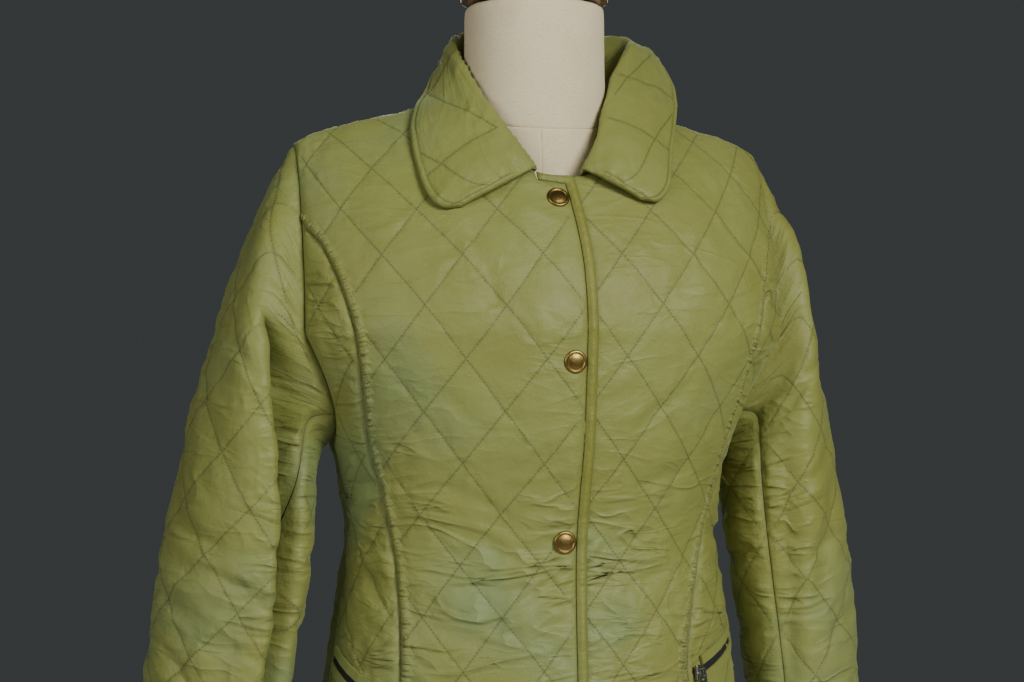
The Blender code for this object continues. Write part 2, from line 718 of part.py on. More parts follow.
def sleeve_piece(side, part, first, last):
    sleeve = SLEEVES[side]
    angles = spread(first, last, SLEEVE_STEP)
    round_u = [math.radians(angle) * SLEEVE_ROUND for angle in angles]
    outline = [(u, 0.0) for u in round_u]
    right_side = spread(0.0, sleeve.top(angles[-1]), ROW_STEP)[1:-1]
    outline += [(round_u[-1], v) for v in right_side]
    top_start = len(outline)
    outline += [(u, sleeve.top(angle)) for u, angle in zip(reversed(round_u), reversed(angles))]
    left_side = spread(sleeve.top(angles[0]), 0.0, ROW_STEP)[1:-1]
    outline += [(round_u[0], v) for v in left_side]
    rims = [None] * len(outline)
    for k, angle in enumerate(reversed(angles)):
        rims[top_start + k] = sleeve.seam_rim(angle, 1)
    lean = SEAM_GAP / SLEEVE_ROUND
    for k, turn in ((top_start, -lean), (top_start + len(angles) - 1, lean)):
        edge_angle = (angles[-1] if k == top_start else angles[0]) + math.degrees(turn)
        rims[k] = sleeve.seam_rim(edge_angle, 1)
    cloth_piece(f"sleeve_{part}_{side}", "quilted_cloth", sleeve.place, outline, QUILT_AT["sleeve_" + side],
                rims=rims, skip=(1, 2))


# ---------------------------------------------------------------- collar
class Collar:
    """Stand, roll and fall. u goes from the centre front, through the centre back, to the other end."""

    def __init__(self):
        self.curves = {}
        for side, turn in (("right", -1), ("left", 1)):
            share, *axes = columns(COLLAR_ROWS[side])
            self.curves[turn] = [smooth_curve(share, axis) for axis in axes]
        self.path = functools.lru_cache(None)(self.path)

    def neck(self, share):
        """Face and distance from the centre of the neckline under a share of the collar."""
        end = math.asin(1.0)
        start = math.asin(COLLAR_START_X / NECK_HALF_WIDTH)
        if share <= 0.5:
            return "front", NECK_HALF_WIDTH * math.sin(start + (end - start) * share / 0.5)
        return "back", NECK_HALF_WIDTH * math.sin(end * (1 - (share - 0.5) / 0.5))

    def base(self, share, side):
        face, x = self.neck(share)
        u, v = neck_uv(face, x)
        u = -u if (side < 0) == (face == "front") else u
        normal = BODY.normal(face, u, v)
        lift = lap_lift(u) if (side < 0 and face == "front") else 0.0
        return BODY.point(face, u, v) + normal * lift, normal

    def path(self, share, side):
        """The line from the neck seam over the roll to the leaf's edge, with its running length."""
        flip = np.array((side, 1.0, 1.0))
        base, _ = self.base(share, side)
        row = np.array([curve(share) for curve in self.curves[side]])
        roll, edge, bulge = row[:3], row[3:6], row[6]
        ahead, behind = min(share + ROLL_REACH, 1.0), max(share - ROLL_REACH, 0.0)
        along = np.array([curve(ahead) - curve(behind) for curve in self.curves[side][:3]])
        outward = unit(np.array((edge[0] - roll[0], edge[1] - roll[1], 0.0))) * flip
        swell = unit(np.cross(edge - roll, along)) * bulge * flip
        roll, edge = roll * flip, edge * flip
        stand = base + (roll - base) * 0.5 - outward * 0.0015
        knee = roll + (edge - roll) * COLLAR_KNEE + swell * 0.8
        fall = roll + (edge - roll) * 0.58 + swell
        knots = np.array((base, stand, roll, knee, fall, edge))
        slope = np.gradient(knots, axis=0)
        t = np.linspace(0, 1, 9)[:-1, None]
        h = t * t * (3 - 2 * t)
        lead = t * (1 - t) ** 2
        tail = t * t * (t - 1)
        runs = [
            knots[k] * (1 - h) + knots[k + 1] * h + slope[k] * lead + slope[k + 1] * tail
            for k in range(len(knots) - 1)
        ]
        line = np.vstack(runs + [knots[-1:]])
        return line, running_length(*line.T)

    def point(self, u, v):
        """The point at u, the distance from the centre back along the collar, and v, the way from the neck
        to the leaf's edge, which is COLLAR_TALL everywhere."""
        share = 1 - min(abs(u), COLLAR_HALF_LENGTH) / COLLAR_HALF_LENGTH
        side = 1 if u >= 0 else -1
        line, run = self.path(share, side)
        at = v / COLLAR_TALL * run[-1]
        return np.array([np.interp(at, run, line[:, k]) for k in range(3)])

    def place(self, u, v):
        reach = 0.003
        across = self.point(u + reach, v) - self.point(u - reach, v)
        up = self.point(u, v + reach) - self.point(u, v - reach)
        return self.point(u, v), unit(np.cross(up, across))

    def neck_rim(self, u, towards):
        share = 1 - abs(u) / COLLAR_HALF_LENGTH
        side = 1 if u >= 0 else -1
        seam, body_normal = self.base(share, side)
        line, _ = self.path(share, side)
        up = unit(line[2] - line[0])
        _, stand_normal = self.place(u, 0.004)
        shared = unit(body_normal + stand_normal)
        away = unit(up - shared * np.dot(up, shared))
        return seam + away * (towards * SEAM_GAP / 2), shared


def neck_share_list():
    """Shares of the collar at which the neckline has seam points, from centre front to centre back."""
    front = [0.5 * k / (len(NECK_FRONT) - 1) for k in range(len(NECK_FRONT))]
    back = [0.5 + 0.5 * k / (len(NECK_BACK) - 1) for k in range(len(NECK_BACK))]
    return front, back


def make_collar(collar):
    front, back = neck_share_list()
    half = [COLLAR_HALF_LENGTH * (1 - share) for share in front + back[1:]]
    stations = half + [-u for u in reversed(half[:-1])]
    outline = [(u, 0.0) for u in stations]
    rims = []
    for u in stations:
        seam, shared = collar.neck_rim(u, 1)
        rims.append((seam + shared * COLLAR_WALL, -shared))
    side_rows = spread(0.0, COLLAR_TALL, 0.020)[1:-1]
    ends = [(-COLLAR_HALF_LENGTH, v) for v in side_rows]
    edge_u = spread(-COLLAR_HALF_LENGTH, COLLAR_HALF_LENGTH, 0.014)
    outline += ends + [(u, COLLAR_TALL) for u in edge_u]
    outline += [(COLLAR_HALF_LENGTH, v) for v in reversed(side_rows)]
    rims += [None] * (len(outline) - len(rims))

    def flat(u, v):
        return ease(COLLAR_STAND_SHARE * COLLAR_TALL, COLLAR_STAND_SHARE * COLLAR_TALL + 0.02, v)

    def turned_over(u, v):
        """The leaf folds over, so the quilting is raised on the side that the stand turns to the neck."""
        point, normal = collar.place(u, v)
        return point + normal * COLLAR_WALL, -normal

    cloth_piece("collar", "quilted_cloth", turned_over, outline, QUILT_AT["collar"],
                wall=COLLAR_WALL, flat=flat, rims=rims, skip=(1, 1))


# ---------------------------------------------------------------- body pieces
def snap_u(v):
    """The snaps lie just inside the binding."""
    return LAP_OUT(v) - BINDING_WIDE - SNAP_RADIUS - SNAP_CLEAR


def near_snap(u, v):
    """0 under a snap cap, where the quilting is pressed flat, and 1 away from it."""
    distances = [math.hypot(u - snap_u(height), v - height) for height in SNAP_V]
    return ease(SNAP_FLAT / 2, SNAP_FLAT, min(distances))


def with_rims(parts):
    """Joins runs of outline points, each with its points and their rims or None, and drops shared ends."""
    outline, rims = [], []
    for points, rim in parts:
        for k, point in enumerate(points):
            if outline and math.dist(outline[-1], point) < 1e-6:
                if rim and rim[k]:
                    rims[-1] = rim[k]
                continue
            outline.append(point)
            rims.append(rim[k] if rim else None)
    if math.dist(outline[0], outline[-1]) < 1e-6:
        rims[0] = rims[0] or rims[-1]
        outline.pop()
        rims.pop()
    return outline, rims


def armhole_rims(side, face, first, last):
    """Rims of the body's edge along the armhole, matching armhole_seam."""
    count = round(abs(last - first) / SLEEVE_STEP)
    angles = [first + (last - first) * k / count for k in range(count + 1)]
    if face == "back":
        angles = [360 - angle for angle in angles]
    inward = CORNER_LEAN if angles[-1] > angles[0] else -CORNER_LEAN
    angles[0] += inward
    angles[-1] -= inward
    return [SLEEVES[side].seam_rim(angle, -1) for angle in angles]


def binding_end():
    """The lower corner of the binding where the collar begins."""
    return (-COLLAR_START_X + SEAM_TURN, neck_v(COLLAR_START_X) - BINDING_WIDE)


def make_front(side, collar):
    """The front between its centre edge and the shaped seam."""
    turn = -1 if side == "right" else 1
    sides = mirrored if side == "right" else list
    seam = front_seam(side)
    edge = front_edge(side)
    hem = [(u, HEM_Z) for u in spread(turn * seam[0][0], edge[0][0], ROW_STEP)]
    neck = [neck_uv("front", x) for x in NECK_FRONT]
    shares = neck_share_list()[0]
    shares[-1] -= NECK_LEAN
    neck_rims = [collar.neck_rim(turn * COLLAR_HALF_LENGTH * (1 - share), -1) for share in shares]
    if side == "right":
        top = [binding_end()]
    else:
        top = [(x, neck_v(x) - SEAM_GAP) for x in (0.0, COLLAR_START_X / 2)]
    shoulder = sides(list(reversed(shoulder_seam("front"))))
    arm = sides(armhole_seam("front", 0, 2 * SLEEVE_STEP))
    arm_rims = armhole_rims(side, "front", 0, 2 * SLEEVE_STEP)
    outline, rims = with_rims([
        (hem, None), (edge, None), (top, None), (sides(neck), neck_rims), (shoulder, None),
        (arm, arm_rims), (sides(list(reversed(seam))), None),
    ])
    under = side == "left"

    def flat(u, v):
        shown = near_snap(u, v)
        return shown * ease(0.020, 0.036, u) if under else shown

    cloth_piece(f"front_{side}", "quilted_cloth", body_place("front", not under), outline,
                QUILT_AT["front_" + side], flat=flat, rims=rims, skip=(2, 1))


def make_side(side):
    """The side front between the shaped seam, the armhole and the side seam."""
    sides = mirrored if side == "right" else list
    seam = front_seam(side)
    side_v = spread(HEM_Z, UNDERARM_Z, ROW_STEP)
    hem = [(u, HEM_Z) for u in spread(seam[0][0], BODY.side("front", HEM_Z), ROW_STEP)]
    up_side = [(BODY.side("front", v), v) for v in side_v]
    arm = armhole_seam("front", 180, 2 * SLEEVE_STEP)
    arm_rims = armhole_rims(side, "front", 180, 2 * SLEEVE_STEP)
    outline, rims = with_rims([
        (sides(hem), None), (sides(up_side), None), (sides(arm), arm_rims),
        (sides(list(reversed(seam))), None),
    ])

    def flat(u, v):
        low, high = pocket_line(side)
        along = np.subtract(high, low)
        off = np.array((abs(u), v)) - low
        reach = np.clip(np.dot(off, along) / np.dot(along, along), 0, 1)
        return ease(*POCKET_FLAT, float(np.linalg.norm(off - along * reach)))

    cloth_piece(f"side_{side}", "quilted_cloth", body_place("front"), outline, QUILT_AT["side_" + side],
                flat=flat, rims=rims)


def make_back(collar):
    """One piece from side seam to side seam, shoulder to hem. u grows towards the wearer's right."""
    side_v = spread(HEM_Z, UNDERARM_Z, ROW_STEP)
    half_hem = [(u, HEM_Z) for u in spread(0.0, BODY.side("back", HEM_Z), ROW_STEP)]
    up_side = [(BODY.side("back", v), v) for v in side_v]
    arm = armhole_seam("back", 180, 0)
    shoulder = shoulder_seam("back")
    neck = [neck_uv("back", x) for x in reversed(NECK_BACK)]
    shares = neck_share_list()[1]
    shares[0] += NECK_LEAN
    runs = []
    for side, turn in (("right", 1), ("left", -1)):
        flip = list if turn == 1 else mirrored
        rims = armhole_rims(side, "back", 180, 0)
        neck_rims = [collar.neck_rim(-turn * COLLAR_HALF_LENGTH * (1 - share), -1) for share in shares]
        runs.append([
            (flip(half_hem), None), (flip(up_side), None), (flip(arm), rims),
            (flip(shoulder), None), (flip(neck), neck_rims),
        ])
    right, left = runs
    back_way = [
        (list(reversed(points)), list(reversed(rims)) if rims else None)
        for points, rims in reversed(left)
    ]
    outline, rims = with_rims(right + back_way)
    cloth_piece("back", "quilted_cloth", body_place("back"), outline, QUILT_AT["back"], rims=rims)


def make_binding():
    """The strip down the lapping edge, which turns along the neckline to the collar's end."""
    top = neck_v(0.0)
    edge_v = spread(HEM_Z, top - BINDING_WIDE, ROW_STEP / 2)
    corner = [(LAP_OUT(top), top - 2 * SEAM_TURN), (LAP_OUT(top) - 2 * SEAM_TURN, top)]
    outer = [(LAP_OUT(v), v) for v in edge_v] + corner
    along = [(x, neck_v(x)) for x in (0.0, -COLLAR_START_X / 2, -COLLAR_START_X + SEAM_TURN)]
    inner = list(reversed(front_edge("right")))
    outline, _ = with_rims([(outer, None), (along, None), ([binding_end()], None), (inner, None)])
    cloth_piece("front_binding", "binding", body_place("front", True), outline, wall=BINDING_THICK)


# ---------------------------------------------------------------- pockets
def pocket_line(side):
    """The slanted zip, from its lower end by the shaped seam to its upper end by the side seam."""
    height, right, left = columns(FRONT_SEAM)
    low_z, high_z = POCKET_Z[side]
    seam_x = smooth_curve(height, right if side == "right" else left)(low_z)
    low = (BODY.u_at("front", seam_x, low_z) + POCKET_IN, low_z)
    high = (BODY.side("front", high_z) - POCKET_OUT, high_z)
    return np.array(low), np.array(high)


def pocket_strip(name, finish, side, inner, outer, lift, wall, ends=(0.0, 0.0)):
    """A strip beside the zip's line, between two distances from it, lying over the side front."""
    low, high = pocket_line(side)
    along = unit(high - low)
    across = np.array((-along[1], along[0]))
    length = np.linalg.norm(high - low)
    stops = spread(ends[0], length - ends[1], 0.014)
    rows = [low + along * stop + across * outer for stop in stops]
    rows += [low + along * stop + across * inner for stop in reversed(stops)]
    turn = -1 if side == "right" else 1

    def place(u, v):
        normal = BODY.normal("front", u, v)
        return BODY.point("front", u, v) + normal * lift, normal

    cloth_piece(name, finish, place, [(turn * u, v) for u, v in rows], wall=wall)


def make_pocket(side):
    seat = CLOTH + 0.0006
    pocket_strip(f"pocket_zip_{side}", "zip_tape", side, -ZIP_HALF, ZIP_HALF, seat, ZIP_THICK)
    reach = ZIP_HALF + WELT_WIDE
    for place, inner, outer in (("upper", ZIP_HALF, reach), ("lower", -reach, -ZIP_HALF)):
        name = f"pocket_welt_{place}_{side}"
        pocket_strip(name, "quilted_cloth", side, inner, outer, seat, WELT_THICK, (WELT_START, 0.0))
    make_slider(side, seat + ZIP_THICK + 0.0004)


def make_slider(side, lift):
    """A slider with an arch over the cross-bar of its pull tab, which hangs from the bar and turns about it."""
    low, high = pocket_line(side)
    spot = low + unit(high - low) * (WELT_START * 0.35)
    turn = -1 if side == "right" else 1
    normal = BODY.normal("front", turn * spot[0], spot[1])
    centre = BODY.point("front", turn * spot[0], spot[1]) + normal * lift
    hang = unit(normal * normal[2] - np.array((0.0, 0.0, 1.0)))
    hinge = unit(np.cross(hang, normal))
    wide, long, thick = SLIDER

    body = to_mesh(block(f"zip_slider_{side}", (wide, long, thick), 0.0008))
    loops = [
        rounded((ARCH_LONG, ARCH_TALL), ARCH_CORNER), rounded((TUNNEL_LONG, TUNNEL_TALL), TUNNEL_CORNER),
    ]
    arch = extruded("arch", loops, ARCH_WIDE)
    arch.location = (0.0, 0.0, thick + BAR_UP)
    arch.rotation_euler = (math.pi / 2, 0.0, math.pi / 2)
    join_solids(body, to_mesh(arch))
    body.matrix_world = axes_matrix(centre, -hinge, -hang, normal)
    finished(body, "pull_metal")

    bar = centre + normal * (thick + BAR_UP)
    hole_top = PULL_BAR / 2
    plate = [rounded((PULL_WIDE, PULL_LENGTH), 0.0030, (0.0, PULL_BAR - hole_top - PULL_LENGTH / 2))]
    plate.append(rounded((ARCH_WIDE + 0.0020, PULL_HOLE), 0.0008, (0.0, -hole_top - PULL_HOLE / 2)))
    pull = to_mesh(extruded(f"zip_pull_{side}", plate, PULL_THICK))
    pull.matrix_world = axes_matrix(bar, -hinge, -hang, normal)
    finished(pull, "pull_metal")


# ---------------------------------------------------------------- hard pieces
def axes_matrix(origin, x, y, z):
    rows = [(x[k], y[k], z[k], origin[k]) for k in range(3)]
    return Matrix(rows + [(0.0, 0.0, 0.0, 1.0)])


def block(name, size, bevel):
    """A box standing on its origin, with small rounded edges."""
    bpy.ops.mesh.primitive_cube_add(size=1.0)
    obj = bpy.context.object
    obj.name = name
    for vertex in obj.data.vertices:
        vertex.co = (vertex.co.x * size[0], vertex.co.y * size[1], (vertex.co.z + 0.5) * size[2])
    claim(obj)
    modifier = obj.modifiers.new("edges", "BEVEL")
    modifier.width = bevel
    modifier.segments = 2
    return obj


def rounded(size, radius, centre=(0.0, 0.0)):
    """A rectangle with round corners, as points."""
    half_x, half_y = size[0] / 2 - radius, size[1] / 2 - radius
    points = []
    for k, (sx, sy) in enumerate(((1, 1), (-1, 1), (-1, -1), (1, -1))):
        for step in range(4):
            turn = math.radians(90 * k + 30 * step)
            points.append((
                centre[0] + sx * half_x + radius * math.cos(turn),
                centre[1] + sy * half_y + radius * math.sin(turn),
            ))
    return points


def extruded(name, loops, thick):
    """A flat outline with its holes, given a thickness about its own plane."""
    curve = bpy.data.curves.new(name, "CURVE")
    curve.dimensions = "2D"
    curve.fill_mode = "BOTH"
    curve.extrude = thick / 2
    for loop in loops:
        spline = curve.splines.new("POLY")
        spline.points.add(len(loop) - 1)
        for point, (x, y) in zip(spline.points, loop):
            point.co = (x, y, 0.0, 1.0)
        spline.use_cyclic_u = True
    obj = bpy.data.objects.new(name, curve)
    PARTS.objects.link(obj)
    return obj


def claim(obj):
    for collection in list(obj.users_collection):
        collection.objects.unlink(obj)
    PARTS.objects.link(obj)


def to_mesh(obj):
    """Replaces a curve, or an object with modifiers, by its evaluated mesh, placed and welded."""
    bpy.context.view_layer.update()
    depsgraph = bpy.context.evaluated_depsgraph_get()
    mesh = bpy.data.meshes.new_from_object(obj.evaluated_get(depsgraph))
    mesh.transform(obj.matrix_world)
    work = bmesh.new()
    work.from_mesh(mesh)
    bmesh.ops.remove_doubles(work, verts=work.verts, dist=0.00001)
    bmesh.ops.recalc_face_normals(work, faces=work.faces)
    work.to_mesh(mesh)
    work.free()
    name = obj.name
    if obj.type == "CURVE":
        bpy.data.objects.remove(obj)
        obj = bpy.data.objects.new(name, mesh)
        PARTS.objects.link(obj)
        return obj
    obj.modifiers.clear()
    obj.data = mesh
    obj.matrix_world.identity()
    return obj


def join_solids(body, other, solver="EXACT"):
    """The union of two solids, kept in the first."""
    union = body.modifiers.new("union", "BOOLEAN")
    union.operation = "UNION"
    union.solver = solver
    union.object = other
    bpy.context.view_layer.update()
    depsgraph = bpy.context.evaluated_depsgraph_get()
    mesh = bpy.data.meshes.new_from_object(body.evaluated_get(depsgraph))
    body.modifiers.clear()
    body.data = mesh
    bpy.data.objects.remove(other)


def turned(name, finish, profile, steps, location=(0.0, 0.0, 0.0)):
    """A solid turned about Z from a profile that runs from the axis at the top to the axis at the bottom."""
    mesh = bpy.data.meshes.new(name)
    mesh.from_pydata([(r, 0.0, z) for r, z in profile], [(k, k + 1) for k in range(len(profile) - 1)], [])
    obj = bpy.data.objects.new(name, mesh)
    PARTS.objects.link(obj)
    screw = obj.modifiers.new("turn", "SCREW")
    screw.steps = steps
    screw.render_steps = steps
    screw.use_merge_vertices = True
    screw.merge_threshold = 0.00005
    obj.location = location
    return finished(obj, finish)


def make_snap(index, v):
    """A low domed cap with a raised rim, lying on the lapping front."""
    u = snap_u(v)
    normal = BODY.normal("front", u, v)
    seat = BODY.point("front", u, v) + normal * (LAP_LIFT + CLOTH + SNAP_SEATS[index - 1])
    r = SNAP_RADIUS
    profile = (
        (0.0, 0.0026), (r * 0.45, 0.0024), (r * 0.72, 0.0019), (r * 0.80, 0.0022), (r * 0.92, 0.0021),
        (r, 0.0012), (r * 0.98, 0.0002), (r * 0.90, 0.0), (0.0, 0.0),
    )
    cap = turned(f"snap_cap_{index}", "brass", profile, 16)
    side = unit(np.cross((0.0, 0.0, 1.0), normal))
    cap.matrix_world = axes_matrix(seat, side, np.cross(normal, side), normal)


# ---------------------------------------------------------------- dress form
def make_torso():
    """The padded linen torso: the same kind of shape as the jacket's body, inside it, with a neck."""
    chest = {face: FORM.side(face, CHEST_Z) for face in ("front", "back")}
    shares = [math.sin(math.radians(a)) for a in range(-90, 91, 10)]
    levels = spread(FORM_BOTTOM_Z, CHEST_Z, 0.049)
    rise = [k / 6 for k in range(1, 7)]
    work = bmesh.new()
    for face in ("front", "back"):
        rows = []
        for v in levels:
            rows.append([FORM.point(face, FORM.side(face, v) * share, v) for share in shares])
        for step in rise:
            row = []
            for share in shares:
                u = chest[face] * share
                x = abs(FORM.point(face, u, CHEST_Z)[0])
                row.append(FORM.point(face, u, CHEST_Z + (FORM.v_top(face, x) - CHEST_Z) * step))
            rows.append(row)
        grid = [[work.verts.new(tuple(map(float, p))) for p in row] for row in rows]
        for low, high in zip(grid, grid[1:]):
            for k in range(len(low) - 1):
                work.faces.new((low[k], low[k + 1], high[k + 1], high[k]))
    bmesh.ops.remove_doubles(work, verts=work.verts, dist=0.0006)
    bmesh.ops.dissolve_degenerate(work, edges=work.edges, dist=0.0002)
    bmesh.ops.holes_fill(work, edges=[edge for edge in work.edges if edge.is_boundary], sides=0)
    bmesh.ops.recalc_face_normals(work, faces=work.faces)
    mesh = bpy.data.meshes.new("form_torso")
    work.to_mesh(mesh)
    work.free()
    torso = bpy.data.objects.new("form_torso", mesh)
    PARTS.objects.link(torso)
    r = FORM_NECK_RADIUS
    neck_profile = (
        (0.0, FORM_NECK_TOP), (r, FORM_NECK_TOP), (r * 1.01, 1.410), (r * 1.03, 1.385),
        (r * 1.05, 1.345), (r * 1.05, 1.300), (0.0, 1.300),
    )
    neck = to_mesh(turned("neck", "linen", neck_profile, 32, (*FORM_NECK_CENTRE, 0.0)))
    join_solids(torso, neck, "MANIFOLD")
    torso.data.shade_smooth()
    torso.data.set_sharp_from_angle(angle=math.radians(50))
    finished(torso, "linen")


def make_stand():
    top = FORM_NECK_TOP + SEAM_GAP
    cap = (
        (0.0, top + 0.052), (0.011, top + 0.051), (0.018, top + 0.045), (0.017, top + 0.037),
        (0.011, top + 0.031), (0.020, top + 0.024), (0.046, top + 0.019), (0.061, top + 0.012),
        (0.0635, top + 0.006), (0.0615, top), (0.0, top),
    )
    turned("form_neck_cap", "turned_wood", cap, 24, (*FORM_NECK_CENTRE, 0.0))
    low = BASE_THICK + SEAM_GAP
    high = FORM_BOTTOM_Z - SEAM_GAP
    pole = ((0.0, high), (POLE_RADIUS, high), (POLE_RADIUS, low), (0.0, low))
    turned("form_pole", "pole_steel", pole, 24)
    base = (
        (0.0, BASE_THICK), (0.030, BASE_THICK), (0.100, BASE_THICK - 0.004), (BASE_RADIUS - 0.012, 0.015),
        (BASE_RADIUS, 0.009), (BASE_RADIUS, 0.002), (BASE_RADIUS - 0.002, 0.0), (0.0, 0.0),
    )
    turned("form_base", "turned_wood", base, 36)


# ---------------------------------------------------------------- the whole model
def clear_scene():
    for obj in list(bpy.data.objects):
        bpy.data.objects.remove(obj)


def new_material(name, colour, roughness, metallic):
    material = bpy.data.materials.new(name)
    material.use_nodes = True
    shader = material.node_tree.nodes["Principled BSDF"]
    shader.inputs["Base Color"].default_value = colour
    shader.inputs["Roughness"].default_value = roughness
    shader.inputs["Metallic"].default_value = metallic
    return material


clear_scene()
PARTS = bpy.data.collections.new("quilted_jacket_on_form")
bpy.context.scene.collection.children.link(PARTS)
MATERIALS = {name: new_material(name, *look) for name, look in FINISHES.items()}
SNAP_V = [BODY.v_at("front", 0.0, z) for z in SNAP_HEIGHTS]

COLLAR = Collar()
for body_side in ("right", "left"):
    make_front(body_side, COLLAR)
    make_side(body_side)
    sleeve_piece(body_side, "upper", SLEEVE_BACK_SEAM - 360, SLEEVE_FRONT_SEAM)
    sleeve_piece(body_side, "under", SLEEVE_FRONT_SEAM, SLEEVE_BACK_SEAM)
    make_pocket(body_side)
make_back(COLLAR)
make_collar(COLLAR)
make_binding()
for number, snap_v in enumerate(SNAP_V, 1):
    make_snap(number, snap_v)
make_torso()
make_stand()
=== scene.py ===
import math

import bmesh
import bpy
import numpy as np
from mathutils import Matrix, Vector
from mathutils.geometry import delaunay_2d_cdt


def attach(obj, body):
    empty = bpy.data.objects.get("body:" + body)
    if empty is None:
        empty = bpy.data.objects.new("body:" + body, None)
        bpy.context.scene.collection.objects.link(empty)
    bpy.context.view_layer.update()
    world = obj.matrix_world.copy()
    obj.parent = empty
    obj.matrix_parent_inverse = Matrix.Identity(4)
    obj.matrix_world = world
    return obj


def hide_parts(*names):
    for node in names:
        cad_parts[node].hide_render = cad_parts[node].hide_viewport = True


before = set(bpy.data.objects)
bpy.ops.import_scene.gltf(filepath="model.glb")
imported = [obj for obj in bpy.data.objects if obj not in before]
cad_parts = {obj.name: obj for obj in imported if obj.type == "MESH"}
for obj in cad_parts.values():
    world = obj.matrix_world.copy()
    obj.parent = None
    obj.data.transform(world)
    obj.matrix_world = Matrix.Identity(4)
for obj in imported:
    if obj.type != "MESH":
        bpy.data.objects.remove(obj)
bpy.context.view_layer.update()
mainBody = "jacket_and_form"
print("frame loaded")

# the jacket's sizes, in metres; the front faces -Y and the wearer's left is +X
jacket = {
    "hem": 0.745, "chest": 1.190, "underarm": 1.105, "shoulderTip": 0.203,
    "neckHalf": 0.074, "neckFront": 0.083, "neckBack": 0.066, "collarStart": 0.019, "seamAngle": 40,
    "wall": 0.0020, "shell": 0.0014, "gap": 0.0002,
    "lapLift": 0.0031, "lapStart": 0.066, "lapFull": 0.024, "lapUnder": 0.015, "binding": 0.009,
    "bindingEnd": 0.018, "underNeck": 0.0003,
}
quilt = {  # a diamond's width and height, and how the wadding lifts it between its sewn lines
    "wide": 0.064, "tall": 0.083, "rise": 0.0011, "shoulder": 0.0048, "crown": 0.0010, "fade": 0.011,
    "pucker": 0.00065, "puckerPitch": 0.0085, "puckerReach": 0.0090, "crownReach": 0.022,
    "puckerClear": 0.0016, "lean": 0.7, "leanPitch": 0.03, "sizePitch": 0.026, "seeds": (61, 67),
}
seamStep = 0.004  # between the points of an outline


# small helpers for curves and noise
def column(rows, k):
    return np.array([row[k] for row in rows], float)


def smoothCurve(xs, ys):  # monotone cubic through a short table
    step = np.diff(xs)
    slope = np.diff(ys) / step
    tangent = np.zeros(len(ys))
    tangent[0], tangent[-1] = slope[0], slope[-1]
    for i in range(1, len(xs) - 1):
        if slope[i - 1] * slope[i] > 0:
            before, after = 2 * step[i] + step[i - 1], step[i] + 2 * step[i - 1]
            tangent[i] = (before + after) / (before / slope[i - 1] + after / slope[i])

    def at(x):
        x = np.clip(x, xs[0], xs[-1])
        i = np.clip(np.searchsorted(xs, x) - 1, 0, len(xs) - 2)
        t = (x - xs[i]) / step[i]
        rise = t * t * (3 - 2 * t)
        lead = t * (1 - t) ** 2 * step[i] * tangent[i]
        tail = t * t * (t - 1) * step[i] * tangent[i + 1]
        return ys[i] * (1 - rise) + ys[i + 1] * rise + lead + tail

    return at


def ease(start, end, x):
    t = np.clip((x - start) / (end - start), 0, 1)
    return t * t * (3 - 2 * t)


def unit(v):
    return v / np.maximum(np.linalg.norm(v, axis=-1, keepdims=True), 1e-12)


def runOf(*axes):
    return np.concatenate(([0.0], np.cumsum(np.sqrt(sum(np.diff(a) ** 2 for a in axes)))))


def alongLine(at, run, line):  # the places that lie these distances along a polyline
    return np.stack([np.interp(at, run, axis) for axis in line.T], -1)


def evenPlaces(lines, count):  # each polyline's length, and points evenly spaced along it
    runs = [runOf(*line.T) for line in lines]
    share = np.linspace(0, 1, count)
    table = [alongLine(share * run[-1], run, line) for run, line in zip(runs, lines)]
    return np.array([run[-1] for run in runs]), np.array(table)


def throughKnots(knots, steps):  # a smooth curve through the knots
    slope = np.gradient(knots, axis=0)
    t = np.linspace(0, 1, steps + 1)[:-1, None]
    rise, lead, tail = t * t * (3 - 2 * t), t * (1 - t) ** 2, t * t * (t - 1)
    spans = zip(knots[:-1], knots[1:], slope[:-1], slope[1:])
    return np.vstack([a * (1 - rise) + b * rise + c * lead + d * tail for a, b, c, d in spans] + [knots[-1:]])


def shifted(line, by):  # a polyline moved to its left
    way = unit(np.gradient(line, axis=0))
    return line + np.stack((-way[:, 1], way[:, 0]), -1) * by


def spread(start, end, step=seamStep):
    return np.linspace(start, end, max(2, int(round(abs(end - start) / step)) + 1))


def gridAt(table, a, b):  # bilinear look-up by fractional row and column
    i = np.clip(np.floor(a).astype(int), 0, table.shape[0] - 2)
    j = np.clip(np.floor(b).astype(int), 0, table.shape[1] - 2)
    fa, fb = np.clip(a - i, 0, 1), np.clip(b - j, 0, 1)
    if table.ndim == 3:
        fa, fb = fa[:, None], fb[:, None]
    low = table[i, j] * (1 - fb) + table[i, j + 1] * fb
    high = table[i + 1, j] * (1 - fb) + table[i + 1, j + 1] * fb
    return low * (1 - fa) + high * fa


def hashed(i, j, seed):
    value = np.sin(i * 127.1 + j * 311.7 + seed * 74.7) * 43758.5453
    return value - np.floor(value)


def softNoise(x, y, seed):  # smooth value noise from -1 to 1
    i, j = np.floor(x), np.floor(y)
    fx, fy = x - i, y - j
    fx, fy = fx * fx * (3 - 2 * fx), fy * fy * (3 - 2 * fy)
    low = hashed(i, j, seed) * (1 - fx) + hashed(i + 1, j, seed) * fx
    high = hashed(i, j + 1, seed) * (1 - fx) + hashed(i + 1, j + 1, seed) * fx
    return 2 * (low * (1 - fy) + high * fy) - 1


